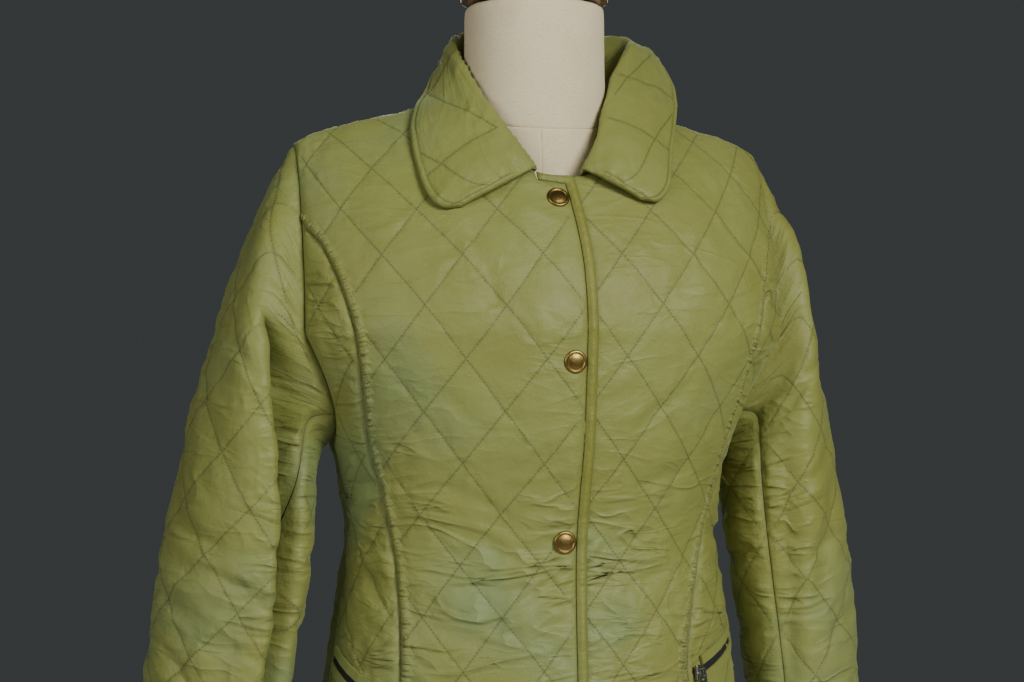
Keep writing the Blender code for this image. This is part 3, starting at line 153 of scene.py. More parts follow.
def creased(x, y, seed):  # 0 on the plain cloth, up to 1 along thin uneven crests
    bend = 0.45 * softNoise(x / 2.1, y / 2.1, seed + 5)
    first = np.maximum(1 - 2.6 * np.abs(softNoise(x + bend, y * 0.55 - bend, seed)), 0)
    second = np.maximum(1 - 2.6 * np.abs(softNoise((x + y) * 0.8, (x - y) * 0.45 + bend, seed + 1)), 0)
    where = 0.25 + 0.75 * ease(-0.30, 0.40, softNoise(x / 2.7, y / 2.4, seed + 9))
    return where * (first ** 2 + 0.8 * second ** 2)


# the body's shape, the same as the solids': level rings to the chest, then two slopes to the shoulders
bodyTable = {
    "rows": (  # height, half width, front depth, back depth, squareness
        (0.745, 0.190, 0.141, 0.136, 2.20), (0.840, 0.181, 0.133, 0.128, 2.20),
        (0.930, 0.169, 0.126, 0.119, 2.25), (1.020, 0.156, 0.116, 0.108, 2.30),
        (1.065, 0.161, 0.121, 0.107, 2.30), (1.105, 0.171, 0.129, 0.109, 2.35),
        (1.190, 0.212, 0.136, 0.110, 2.50),
    ),
    "ridge": (  # distance out, height of the shoulder line for front and back
        (0.000, 1.385, 1.422), (0.040, 1.384, 1.405), (0.074, 1.386, 1.386), (0.100, 1.378, 1.378),
        (0.150, 1.366, 1.366), (0.190, 1.354, 1.354), (0.203, 1.346, 1.346), (0.212, 1.330, 1.330),
    ),
    "slope": {"front": (0.45, 0.24), "back": (0.60, 0.80)},
}
formTable = {
    "rows": (
        (0.700, 0.170, 0.124, 0.122, 2.20), (0.840, 0.162, 0.118, 0.114, 2.20),
        (0.930, 0.156, 0.113, 0.108, 2.20), (1.020, 0.134, 0.097, 0.092, 2.20),
        (1.065, 0.140, 0.104, 0.094, 2.20), (1.105, 0.152, 0.114, 0.097, 2.25),
        (1.190, 0.176, 0.124, 0.099, 2.40),
    ),
    "ridge": (
        (0.000, 1.380, 1.380), (0.040, 1.381, 1.381), (0.074, 1.3805, 1.3805), (0.100, 1.3765, 1.3765),
        (0.150, 1.3640, 1.3640), (0.160, 1.3590, 1.3590), (0.170, 1.3420, 1.3420),
        (0.1755, 1.300, 1.300), (0.176, 1.190, 1.190),
    ),
    "slope": {"front": (0.40, 0.12), "back": (0.45, 0.45)},
}


class trunkShape:  # u is the distance round from a face's centre line, v the distance up it
    def __init__(self, table):
        rows, ridge = table["rows"], table["ridge"]
        self.low, self.chest = rows[0][0], jacket["chest"]
        self.zs, self.xs = np.linspace(self.low, self.chest, 447), np.linspace(0, rows[-1][1], 213)
        self.zStep, self.xStep = self.zs[1] - self.zs[0], self.xs[1] - self.xs[0]
        self.shares = np.linspace(0, 1, 201)
        height, sweep, c = column(rows, 0), np.radians(np.linspace(0, 90, 181)), np.linspace(0, 1, 81)
        wide, square = (smoothCurve(height, column(rows, k)) for k in (1, 4))
        self.side, self.rings, self.rise, self.slopes = {}, {}, {}, {}
        for face, k in (("front", 2), ("back", 3)):
            depth, rings, slopes = smoothCurve(height, column(rows, k)), [], []
            for z in self.zs:
                power = 2 / square(z)
                x, y = wide(z) * np.sin(sweep) ** power, depth(z) * np.maximum(np.cos(sweep), 0) ** power
                rings.append(np.stack((x, y), -1))
            self.side[face], self.rings[face] = evenPlaces(rings, len(self.shares))
            top = smoothCurve(column(ridge, 0), column(ridge, k - 1))
            straight, reach = table["slope"][face]
            for x, deep in zip(self.xs, np.interp(self.xs, *self.rings[face][-1].T)):
                tall = float(top(x))
                knee = self.chest + straight * (tall - self.chest)
                first, second, third = (1 - c) ** 3, 3 * c * (1 - c) ** 2, 3 * c * c * (1 - c)
                y = deep * (first + second + reach * third)
                z = self.chest * first + knee * second + tall * (third + c ** 3)
                slopes.append(np.stack((y, z), -1))
            self.rise[face], self.slopes[face] = evenPlaces(slopes, len(self.shares))

    def sideAt(self, face, z):
        return np.interp(z, self.zs, self.side[face])

    def uAt(self, face, x, z):
        row = np.clip((np.minimum(z, self.chest) - self.low) / self.zStep, 0, len(self.zs) - 1)
        k = int(round(float(row)))
        share = np.interp(abs(x), self.rings[face][k][:, 0], self.shares)
        return math.copysign(share * self.side[face][k], x)

    def topV(self, face, x):
        return self.chest + np.interp(np.abs(x), self.xs, self.rise[face])

    def slopeRow(self, face, x):
        k = int(round(abs(x) / self.xStep))
        return (*self.slopes[face][k].T, self.shares * self.rise[face][k])

    def depthV(self, face, x, depth):  # how far up the slope at x its depth falls to this
        y, _, run = self.slopeRow(face, x)
        return self.chest + np.interp(-depth, -y, run)

    def heightV(self, face, x, z):
        _, height, run = self.slopeRow(face, x)
        return z if z <= self.chest else float(self.chest + np.interp(z, height, run))

    def point(self, face, u, v):
        u, v = np.asarray(u, float), np.asarray(v, float)
        level, last = np.clip(v, self.low, self.chest), len(self.shares) - 1
        share = np.clip(np.abs(u) / self.sideAt(face, v), 0, 1) * last
        x, y = gridAt(self.rings[face], (level - self.low) / self.zStep, share).T
        up = np.clip((v - self.chest) / np.interp(x, self.xs, self.rise[face]), 0, 1) * last
        y, z = np.where(v > self.chest, gridAt(self.slopes[face], x / self.xStep, up).T, (y, level))
        x = np.where(u < 0, -x, x)
        return np.stack((x, -y, z) if face == "front" else (-x, y, z), -1)

    def normal(self, face, u, v, reach=0.003):
        across = self.point(face, u + reach, v) - self.point(face, u - reach, v)
        up = self.point(face, u, v + reach) - self.point(face, u, v - reach)
        return unit(np.cross(across, up))


body = trunkShape(bodyTable)
form = trunkShape(formTable)


def one(array):
    return np.array([array], float)


def lapLift(u):
    return jacket["lapLift"] * ease(-jacket["lapStart"], -jacket["lapFull"], u)


# seams on the body
def armholeUv(face, share):  # 0 at the shoulder tip, 1 at the underarm
    tip = body.uAt(face, jacket["shoulderTip"], jacket["chest"])
    if share <= 0.5:
        top = body.topV(face, jacket["shoulderTip"])
        return tip, float(top + (jacket["chest"] - top) * 2 * share)
    turn = (share - 0.5) * math.pi
    v = jacket["chest"] - (jacket["chest"] - jacket["underarm"]) * math.sin(turn)
    return float(body.sideAt(face, v) - (body.sideAt(face, jacket["chest"]) - tip) * math.cos(turn)), v


def armholePlace(angle):  # face and share from the angle round the sleeve, 90 in front
    angle = angle % 360
    return ("front", angle / 180) if angle <= 180 else ("back", (360 - angle) / 180)


def armholeRun(face, first, last):
    return [armholeUv(face, a / 180) for a in spread(first, last, 2.5)]


def neckUv(face, x):
    deep = jacket["neckFront" if face == "front" else "neckBack"]
    depth = deep * math.sqrt(max(1 - (x / jacket["neckHalf"]) ** 2, 0))
    return body.uAt(face, x, jacket["chest"]), float(body.depthV(face, x, depth))


def neckRun(face, first, last):
    turns = spread(*(math.asin(min(x / jacket["neckHalf"], 1)) for x in (first, last)), 0.04)
    return [neckUv(face, jacket["neckHalf"] * math.sin(t)) for t in turns]


def neckOut(face, share):  # how far out the collar's seam lies, from its front end (0) to the centre back (1)
    start = math.asin(jacket["collarStart"] / jacket["neckHalf"])
    turn = start + (math.pi / 2 - start) * share / 0.5 if face == "front" else math.pi * (1 - share)
    return jacket["neckHalf"] * math.sin(turn)


def shoulderRun(face):
    return [
        (body.uAt(face, x, jacket["chest"]), float(body.topV(face, x)))
        for x in spread(jacket["shoulderTip"], jacket["neckHalf"])
    ]


frontSeam = (  # height, distance of the shaped seam from the centre: right, left
    (0.745, 0.137, 0.116), (0.850, 0.133, 0.108), (0.920, 0.131, 0.103), (0.960, 0.130, 0.110),
    (1.000, 0.131, 0.120), (1.045, 0.138, 0.133), (1.106, 0.153, 0.150), (1.150, 0.161, 0.162),
    (1.190, 0.169, 0.171), (1.230, 0.179, 0.181), (1.262, 0.190, 0.191),
)
lapEdge = ((0.745, 0.012), (0.930, 0.012), (1.010, 0.014), (1.110, 0.017), (1.240, 0.018), (1.330, 0.013))
lapOut = smoothCurve(column(lapEdge, 0), column(lapEdge, 1))


def seamX(side):
    return smoothCurve(column(frontSeam, 0), column(frontSeam, 1 if side == "right" else 2))


def seamRun(side):
    rows = [(seamX(side)(z), z) for z in spread(jacket["hem"], 1.262)]
    run = [(body.uAt("front", x, z), body.heightV("front", x, z)) for x, z in rows]
    return run + [armholeUv("front", jacket["seamAngle"] / 180)]


def mirrored(run):
    return [(-u, v) for u, v in run]


def backwards(run):
    return list(reversed(run))


def flipped(side, face):  # whether u runs the other way on this side of the face
    return (side == "right") == (face == "front")


# sleeves
sleeveTable = {
    "round": 0.057, "skew": 0.020,
    "rings": (  # outer x, z, inner x, z, half depth, centre y, stand, swing right, swing left
        (0.222, 1.305, 0.1830, 1.0960, 0.0580, 0.000, 0.024, 0.001, -0.004),
        (0.240, 1.255, 0.1870, 1.0750, 0.0650, -0.001, 0.023, 0.003, -0.010),
        (0.257, 1.200, 0.1880, 1.0450, 0.0680, -0.002, 0.017, 0.005, -0.012),
        (0.274, 1.130, 0.1900, 1.0000, 0.0665, -0.004, 0.010, 0.008, -0.010),
        (0.288, 1.050, 0.1930, 0.9500, 0.0630, -0.006, 0.004, 0.013, -0.006),
        (0.299, 0.960, 0.1990, 0.8900, 0.0600, -0.007, 0.000, 0.018, -0.003),
        (0.306, 0.860, 0.2060, 0.8200, 0.0580, -0.008, 0.000, 0.021, -0.003),
        (0.310, 0.757, 0.2120, 0.7430, 0.0560, -0.008, 0.000, 0.022, -0.004),
    ),
    "folds": (  # side, angle at top and foot, top and foot above the cuff, depth, half width
        ("right", 100.0, 78.0, 0.235, 0.120, 0.0060, 12.0),
        ("right", 30.0, 95.0, 0.190, 0.120, 0.0045, 10.0),
        ("left", 112.0, 138.0, 0.400, 0.060, 0.0080, 14.0),
        ("left", 60.0, 105.0, 0.330, 0.180, 0.0050, 12.0),
        ("left", 20.0, 90.0, 0.160, 0.090, 0.0045, 10.0),
    ),
}

deepFold = {  # height above the cuff and angle along it; depth, and how far round its two sides reach
    "path": (
        (0.100, 124.0), (0.200, 124.0), (0.265, 122.0), (0.3125, 118.0), (0.3525, 114.0), (0.390, 106.0),
        (0.435, 90.0), (0.4575, 76.0), (0.475, 70.0),
    ),
    "deep": 0.050, "steep": 2.4, "gentle": 7.0, "under": 5.0, "reach": 4.0,
    "start": (0.09, 0.19), "end": (0.425, 0.464),  # where it fades in and out, above the cuff
    "gap": 3.5, "wider": 10.0, "narrows": (0.30, 0.44),  # degrees between its two sides, and where they close
}
foldAngle = smoothCurve(column(deepFold["path"], 0), column(deepFold["path"], 1))


def foldStrength(v):
    return ease(*deepFold["start"], v) * (1 - ease(*deepFold["end"], v))


class sleeveShape:  # u is the angle round, in metres; v the distance up from the cuff
    def __init__(self, side):
        self.side, self.turn = side, 1.0 if side == "left" else -1.0
        self.first, self.step = -200.0, 2.5
        self.angles = np.arange(self.first, 560.1, self.step)
        self.tops, self.lines = evenPlaces([self.pathUp(angle) for angle in self.angles], 241)

    def pathUp(self, angle):
        face, share = armholePlace(angle)
        start = body.point(face, *map(one, armholeUv(face, share)))[0]
        knots = [np.array((abs(start[0]), *start[1:]))]
        out, front = math.cos(math.radians(angle)), math.sin(math.radians(angle))
        count = len(sleeveTable["rings"])
        for k, (outX, outZ, inX, inZ, half, y, stand, right, left) in enumerate(sleeveTable["rings"]):
            swing = right if self.side == "right" else left
            skew = sleeveTable["skew"] * ease(0.0, 0.6, (k + 1) / count)
            middle = np.array(((outX + inX) / 2 + swing, y, (outZ + inZ) / 2))
            arm = np.array(((outX - inX) / 2, 0.0, (outZ - inZ) / 2))
            knots.append(middle + arm * out + np.array((stand * front ** 2, skew * out - half * front, 0.0)))
        return throughKnots(np.array(knots), 8)[::-1]

    def uAt(self, angle):
        return np.radians(angle) * sleeveTable["round"]

    def top(self, angle):
        return np.interp(angle, self.angles, self.tops)

    def plain(self, angle, v):
        row = (angle - self.first) / self.step
        return gridAt(self.lines, row, np.clip(v / self.top(angle), 0, 1) * (self.lines.shape[1] - 1))

    def point(self, u, v):
        angle = np.degrees(u / sleeveTable["round"])
        depth = np.zeros(len(u))
        for side, topAngle, footAngle, top, foot, deep, half in sleeveTable["folds"]:
            if side != self.side:
                continue
            along = np.clip((top - v) / (top - foot), 0, 1)
            off = (angle - topAngle - (footAngle - topAngle) * along + 180) % 360 - 180
            depth += deep * np.exp(-(off / half) ** 2) * np.sin(math.pi * along) ** 0.7
        if self.side == "right":  # the outer side hangs over this one
            off = (angle - foldAngle(v) + 180) % 360 - 180
            hold = deepFold["gap"] + deepFold["wider"] * (1 - ease(*deepFold["narrows"], v))
            away = np.where(off < 0, off / deepFold["steep"], np.maximum(off - hold, 0) / deepFold["gentle"])
            strength = foldStrength(v)
            depth += deepFold["deep"] * strength * np.exp(-away ** 2)
            angle = angle - deepFold["under"] * strength * np.exp(-((off - 3) / deepFold["reach"]) ** 2)
        place = self.plain(angle, v)
        place = place + unit(self.plain(angle + 180, v) - place) * depth[:, None]
        place[:, 0] *= self.turn
        return place

    def normal(self, u, v, reach=0.003):
        turn = self.uAt(1.2)
        across = self.point(u + turn, v) - self.point(u - turn, v)
        up = self.point(u, v + reach) - self.point(u, v - reach)
        return unit(np.cross(across, up)) * -self.turn

    def rim(self, angle):  # seam point and the normal shared with the body
        face, share = armholePlace(angle)
        u, v = armholeUv(face, share)
        u, v = one(-u if flipped(self.side, face) else u), one(v)
        mid, top = one(self.uAt(angle)), self.top(one(angle))
        down = unit(self.point(mid, top - 0.008) - self.point(mid, top))[0]
        ends = [self.point(one(self.uAt(a)), self.top(one(a)))[0] for a in (angle + 2, angle - 2)]
        sleeveNormal = unit(np.cross(ends[0] - ends[1], -down)) * -self.turn
        return body.point(face, u, v)[0], unit(body.normal(face, u, v)[0] + sleeveNormal)


sleeves = {side: sleeveShape(side) for side in ("right", "left")}
print("body and sleeve shapes ready")

# collar
collarTable = {
    "half": 0.255, "tall": 0.132, "knee": 0.16, "kneeSwell": 0.8, "fall": 0.58, "standIn": 0.0015,
    "right": (  # share, then in mm: roll x, y, z, edge x, y, z, bulge
        (0.00, 19, -88.5, 1326, 85.7, -105.9, 1292.4, 6),
        (0.04, 23, -88, 1331.5, 97.5, -103.8, 1290.7, 6),
        (0.08, 27, -87, 1337, 105.5, -99.9, 1293.6, 6),
        (0.12, 30.8, -84.8, 1343, 111.3, -92.9, 1302, 6),
        (0.17, 35.5, -80.5, 1350.5, 115.3, -81.2, 1316.8, 6),
        (0.23, 41.5, -73.5, 1361, 117, -66, 1335.1, 5.5),
        (0.30, 47.5, -63, 1373.5, 116, -47.5, 1354.9, 5),
        (0.37, 53, -49.5, 1385.5, 107.1, -20, 1377.1, 4),
        (0.44, 59, -27, 1406, 90.6, 12, 1395.8, 3.5),
        (0.52, 63, -2, 1425.5, 74.2, 42, 1417.4, 3.5),
        (0.60, 61.5, 21, 1440, 65, 64, 1416, 4.5),
        (0.68, 54, 39.5, 1447.5, 59, 83, 1406, 5.5),
        (0.76, 44.5, 55.5, 1452, 50, 97, 1399, 7),
        (0.84, 31, 67, 1454.5, 37, 107, 1395.5, 8),
        (0.92, 13, 74.5, 1456.5, 20, 112.5, 1394, 9),
        (1.00, -10, 77, 1457, 0, 114, 1393.5, 9),
    ),
    "left": (
        (0.00, 19.8, -88, 1325, 65.3, -103.8, 1300.1, 5),
        (0.04, 23.5, -87.2, 1331.5, 77.4, -103.9, 1298.3, 5),
        (0.08, 27.2, -86, 1338, 89.1, -97.9, 1303.9, 5),
        (0.12, 30.8, -83.5, 1344.5, 97.5, -87.6, 1315.1, 5.5),
        (0.17, 35, -79, 1352.5, 104.1, -72.8, 1331.5, 6),
        (0.23, 39.5, -72, 1362, 110.8, -56.6, 1347.4, 6),
        (0.30, 45, -62.5, 1373.5, 122.6, -30, 1370, 6),
        (0.37, 52.5, -49.5, 1387, 132.3, -6, 1391.2, 6),
        (0.44, 64, -27, 1408, 137.5, 18, 1411, 5.5),
        (0.52, 81, -4, 1430, 137.3, 44, 1429.1, 5),
        (0.60, 95, 17, 1444, 135.1, 68, 1442, 4.5),
        (0.68, 97.5, 37, 1450, 129, 85, 1437, 5.5),
        (0.76, 86, 54, 1454.5, 115, 98, 1421, 7),
        (0.84, 66, 66.5, 1456.5, 90, 108, 1405, 8),
        (0.92, 39, 74.5, 1457, 48, 113, 1396, 9),
        (1.00, 10, 77, 1457, 0, 114, 1393.5, 9),
    ),
}


class collarShape:  # u is the distance from the centre back, v from the neck seam to the leaf's edge
    def __init__(self):
        self.curves = {}
        for side, turn in (("right", -1), ("left", 1)):
            rows = collarTable[side]
            self.curves[turn] = [smoothCurve(column(rows, 0), column(rows, k) / 1000) for k in range(1, 8)]
        self.us = np.linspace(-collarTable["half"], collarTable["half"], 205)
        _, self.table = evenPlaces([self.path(*self.placeOf(u)) for u in self.us], 121)

    def placeOf(self, u):
        return 1 - abs(u) / collarTable["half"], 1 if u >= 0 else -1

    def base(self, share, side):
        face = "front" if share <= 0.5 else "back"
        u, v = neckUv(face, neckOut(face, share))
        u = -u if (side < 0) == (face == "front") else u
        normal = body.normal(face, one(u), one(v))[0]
        lift = float(lapLift(u)) if side < 0 and face == "front" else 0.0
        return body.point(face, one(u), one(v))[0] + normal * lift, normal

    def path(self, share, side):
        flip = np.array((side, 1.0, 1.0))
        start, _ = self.base(share, side)
        row = [float(curve(share)) for curve in self.curves[side]]
        roll, edge = np.array(row[:3]), np.array(row[3:6])
        ahead, behind = min(share + 0.02, 1.0), max(share - 0.02, 0.0)
        tangent = np.array([float(curve(ahead)) - float(curve(behind)) for curve in self.curves[side][:3]])
        outward = unit(np.array((edge[0] - roll[0], edge[1] - roll[1], 0.0))) * flip
        swell = unit(np.cross(edge - roll, tangent)) * row[6] * flip
        roll, edge = roll * flip, edge * flip
        stand = start + (roll - start) * 0.5 - outward * collarTable["standIn"]
        knee = roll + (edge - roll) * collarTable["knee"] + swell * collarTable["kneeSwell"]
        fall = roll + (edge - roll) * collarTable["fall"] + swell
        return throughKnots(np.array((start, stand, roll, knee, fall, edge)), 12)

    def point(self, u, v):
        row = (u + collarTable["half"]) / (self.us[1] - self.us[0])
        return gridAt(self.table, row, np.clip(v / collarTable["tall"], 0, 1) * (self.table.shape[1] - 1))

    def normal(self, u, v, reach=0.003):
        across = self.point(u + reach, v) - self.point(u - reach, v)
        up = self.point(u, v + reach) - self.point(u, v - reach)
        return unit(np.cross(up, across))

    def rim(self, u):
        seam, bodyNormal = self.base(*self.placeOf(u))
        return seam, unit(bodyNormal + self.normal(one(u), one(0.004))[0])


collar = collarShape()
print("collar shape ready")


# cloth: outlines, distances to them and the panel builder
panelRows = {"depths": (0.0008, 0.0024, 0.0046, 0.0066), "clear": 0.0075, "denseClear": 0.0030}


def thickened(run, step=seamStep):  # a polyline with evenly spaced points
    run = np.array(run, float)
    run = run[np.concatenate(([True], np.linalg.norm(np.diff(run, axis=0), axis=1) > 1e-6))]
    length = runOf(*run.T)
    count = max(2, int(math.ceil(length[-1] / step)) + 1)
    return alongLine(np.linspace(0, length[-1], count), length, run)


def closedRing(ring):
    return np.vstack((ring, ring[:1]))


def ringArea(ring):  # negative when the ring runs clockwise
    after = np.roll(ring, -1, axis=0)
    return (ring[:, 0] * after[:, 1] - after[:, 0] * ring[:, 1]).sum() / 2


def nearLine(points, line):  # distance of points to a polyline, and how far along it the nearest place lies
    start, end = line[:-1], line[1:]
    edge = end - start
    size = np.maximum((edge ** 2).sum(1), 1e-18)
    length, batch = runOf(*line.T), 4000
    away, along = np.empty(len(points)), np.empty(len(points))
    for k in range(0, len(points), batch):
        p = points[k:k + batch, None, :]
        t = np.clip(((p - start) * edge).sum(2) / size, 0, 1)
        d = np.linalg.norm(p - start - t[..., None] * edge, axis=2)
        i = d.argmin(1)
        rows = np.arange(len(i))
        away[k:k + batch] = d[rows, i]
        along[k:k + batch] = length[i] + t[rows, i] * np.sqrt(size[i])
    return away, along


def nearestOf(points, lines):
    return np.min([nearLine(points, line)[0] for line in lines], axis=0)


def insideOf(points, ring):
    inside = np.zeros(len(points), bool)
    start, end = ring, np.roll(ring, -1, axis=0)
    for (ax, ay), (bx, by) in zip(start, end):
        if ay == by:
            continue
        crosses = (points[:, 1] < ay) != (points[:, 1] < by)
        inside ^= crosses & (points[:, 0] < ax + (points[:, 1] - ay) / (by - ay) * (bx - ax))
    return inside


def ringInset(ring, by):
    before, after = unit(ring - np.roll(ring, 1, axis=0)), unit(np.roll(ring, -1, axis=0) - ring)
    left = unit(np.stack((-(before + after)[:, 1], (before + after)[:, 0]), 1))
    turn = np.clip((left * np.stack((-after[:, 1], after[:, 0]), 1)).sum(1), 0.5, 1)
    return ring + left * (by / turn)[:, None]


latticeHalf = (0, 0.012, 0.034, 0.068, 0.118, 0.185, 0.265, 0.355, 0.450)
latticeSteps = np.array(latticeHalf + tuple(1 - step for step in reversed(latticeHalf[1:])))


def diamondCoords(u, v, origin):
    across, up = (u - origin[0]) / quilt["wide"], (v - origin[1]) / quilt["tall"]
    return across + up, across - up


def diamondSpan(origin, low, high):  # the first and last sewn lines that may cross a box
    ways = [way for u in (low[0], high[0]) for v in (low[1], high[1]) for way in diamondCoords(u, v, origin)]
    return math.floor(min(ways)), math.ceil(max(ways))


def diamondPlaces(p, q, origin):
    return np.stack((origin[0] + (p + q) / 2 * quilt["wide"], origin[1] + (p - q) / 2 * quilt["tall"]), -1)


def latticePoints(origin, low, high):  # rows of points that run along the sewn diamonds
    line = np.concatenate([k + latticeSteps for k in range(*diamondSpan(origin, low, high))])
    return diamondPlaces(*(axis.ravel() for axis in np.meshgrid(line, line)), origin)


def squarePoints(step, low, high):
    x, y = (axis.ravel() for axis in np.meshgrid(*(np.arange(low[k], high[k], step) for k in (0, 1))))
    return np.stack((x, y), -1)


def puffOf(u, v, origin):  # the lift of the wadding, and the distance from the nearest sewn line
    p, q = diamondCoords(u, v, origin)
    apart = 1 / math.hypot(1 / quilt["wide"], 1 / quilt["tall"])
    side = math.hypot(quilt["wide"] / 2, quilt["tall"] / 2)
    offP, offQ = np.abs(p - np.round(p)) * apart, np.abs(q - np.round(q)) * apart
    size = 0.85 + 0.35 * (2 * hashed(np.floor(p), np.floor(q), 3) - 1)
    lift = quilt["rise"] * (1 - np.exp(-offP / quilt["shoulder"])) * (1 - np.exp(-offQ / quilt["shoulder"]))
    lift += quilt["crown"] * size * np.abs(np.sin(math.pi * p) * np.sin(math.pi * q))
    places = ((offP, np.round(p), q * side), (offQ, np.round(q), p * side))
    for (off, line, along), seed in zip(places, quilt["seeds"]):
        lean = along + off * quilt["lean"] * softNoise(along / quilt["leanPitch"], line * 3.7, seed)
        fine = softNoise(lean / quilt["puckerPitch"], line * 5.3, seed + 1)
        size = 0.5 + 0.5 * softNoise(along / quilt["sizePitch"], line * 2.9, seed + 2)
        near = np.exp(-off / quilt["puckerReach"])
        lift += quilt["pucker"] * size * fine * near * ease(0, quilt["puckerClear"], off)
    return lift, np.minimum(offP, offQ)


def creaseHeight(u, v, creases):  # soft troughs with a small rise beside them, from rows in millimetres
    height = np.zeros(len(u))
    for u0, v0, u1, v1, bow, wide, deep in np.array(creases).reshape(-1, 7) / 1000:
        start, end = np.array((u0, v0)), np.array((u1, v1))
        length = np.linalg.norm(end - start)
        way = (end - start) / length
        off = np.stack((u, v), -1) - start
        along = off @ way / length
        t = np.clip(along, 0, 1)
        side = off @ np.array((-way[1], way[0])) - bow * 4 * t * (1 - t)
        side = side / (wide * (0.55 + 0.45 * np.sin(math.pi * t)))
        fade = np.where((along > 0) & (along < 1), np.sin(math.pi * t) ** 0.8, 0)
        height -= deep * fade * (1 - 0.9 * side ** 2) * np.exp(-side ** 2)
    return height


puckers = {  # the ridges' reach, height and pitch
    "front": (0.014, 0.0011, 0.0075), "frontArm": (0.010, 0.0008, 0.0080), "side": (0.012, 0.0009, 0.0085),
    "underarm": (0.012, 0.0009, 0.0090), "sleeve": (0.011, 0.0008, 0.0085),
    "sleeveTop": (0.014, 0.0011, 0.0080), "neck": (0.012, 0.0008, 0.0080), "collar": (0.012, 0.0005, 0.0085),
}


def puckerHeight(points, seams):  # short uneven ridges that run out from a sewn seam
    height = np.zeros(len(points))
    for line, kind, seed in seams:
        reach, deep, pitch = puckers[kind]
        away, along = nearLine(points, line)
        lean = along + away * 0.5 * softNoise(along / 0.05, 0 * along, seed + 3)
        size = 0.6 + 0.4 * softNoise(along / 0.035, 0 * along, seed + 7)
        fine = softNoise(lean / pitch, away / 0.05, seed)
        fine = fine + 0.5 * softNoise(lean / (pitch * 0.55), away / 0.03, seed + 1)
        height += deep * size * fine * np.exp(-away / reach) * ease(0, 0.003, away)
    return height


# the mark sewn is a mask of painted shade: it darkens the cloth along its edges and sewn lines; drawn,
# creased, along and beside steer bumps
clothMarks = ("sewn", "drawn", "creased", "along", "beside")
# for each kind of line: the strength and width of the painted shade along it, then the reach of its drawn-up
# bump
sewnLook = {"outline": (1.0, 0.0009, 0.008), "quilting": (0.75, 0.0009, 0.006), "line": (0.85, 0.0011, 0.006)}


def sewnMarks(spec, flat, closed):  # what the look needs to know at each point, in the order of clothMarks
    away, _ = nearLine(flat, closed)
    near = [(away, sewnLook["outline"])]
    if "origin" in spec:
        quilting = puffOf(*flat.T, spec["origin"])[1]
        if "noStitch" in spec:
            quilting = np.where(spec["noStitch"](*flat.T), 1.0, quilting)
        near.append((quilting, sewnLook["quilting"]))
    for line in [*spec.get("sewnLines", ()), *spec.get("quiltLines", ())]:
        near.append((nearLine(flat, line)[0], sewnLook["line"]))
    # painted shade, strongest right on the edges and sewn lines
    sewn = np.max([strength * np.exp(-(off / thin) ** 2) for off, (strength, thin, _) in near], axis=0)
    drawn = np.max([np.exp(-off / wide) for off, (_, _, wide) in near], axis=0)
    loose = spec.get("creased", lambda u, v: np.full(len(u), 0.28))(*flat.T) * ease(0.0, 0.006, away)
    along, beside = np.zeros(len(flat)), np.zeros(len(flat))
    if "ladder" in spec:
        off, along = nearLine(flat, spec["ladder"])
        beside = ease(0.0002, 0.0016, off) * (1 - ease(0.0052, 0.0090, off))
    return sewn, drawn, loose, along, beside


def panelPoints(spec, ring, closed):  # the outline and the points inside it, on the panel's flat chart
    low, high = ring.min(0), ring.max(0)
    if "origin" in spec:
        inner = latticePoints(spec["origin"], low, high)
    else:
        inner = squarePoints(spec["step"], low, high)
    inner = inner[insideOf(inner, ring)]
    if "rowsOnly" in spec:
        inner = inner[~spec["rowsOnly"](*inner.T)]
    rows = [ring, inner[nearLine(inner, closed)[0] > spec.get("clearRows", panelRows["clear"])]]
    lines = [(ringInset(ring, depth), depth * 0.8) for depth in spec.get("rows", panelRows["depths"])]
    for line, offsets in spec.get("denseLines", ()):
        lines += [(shifted(line, by), panelRows["denseClear"]) for by in offsets]
    for line, clear in lines:
        line = line[insideOf(line, ring)]
        rows.append(line[nearLine(line, closed)[0] > clear])
    flat = np.vstack(rows)
    return flat[np.sort(np.unique(np.round(flat, 5), axis=0, return_index=True)[1])]


def reshape(mesh, change):  # runs a change on the mesh's bmesh
    work = bmesh.new()
    work.from_mesh(mesh)
    change(work)
    work.to_mesh(mesh)
    work.free()


def faceOutwards(work):
    if work.calc_volume(signed=True) < 0:
        bmesh.ops.reverse_faces(work, faces=work.faces)


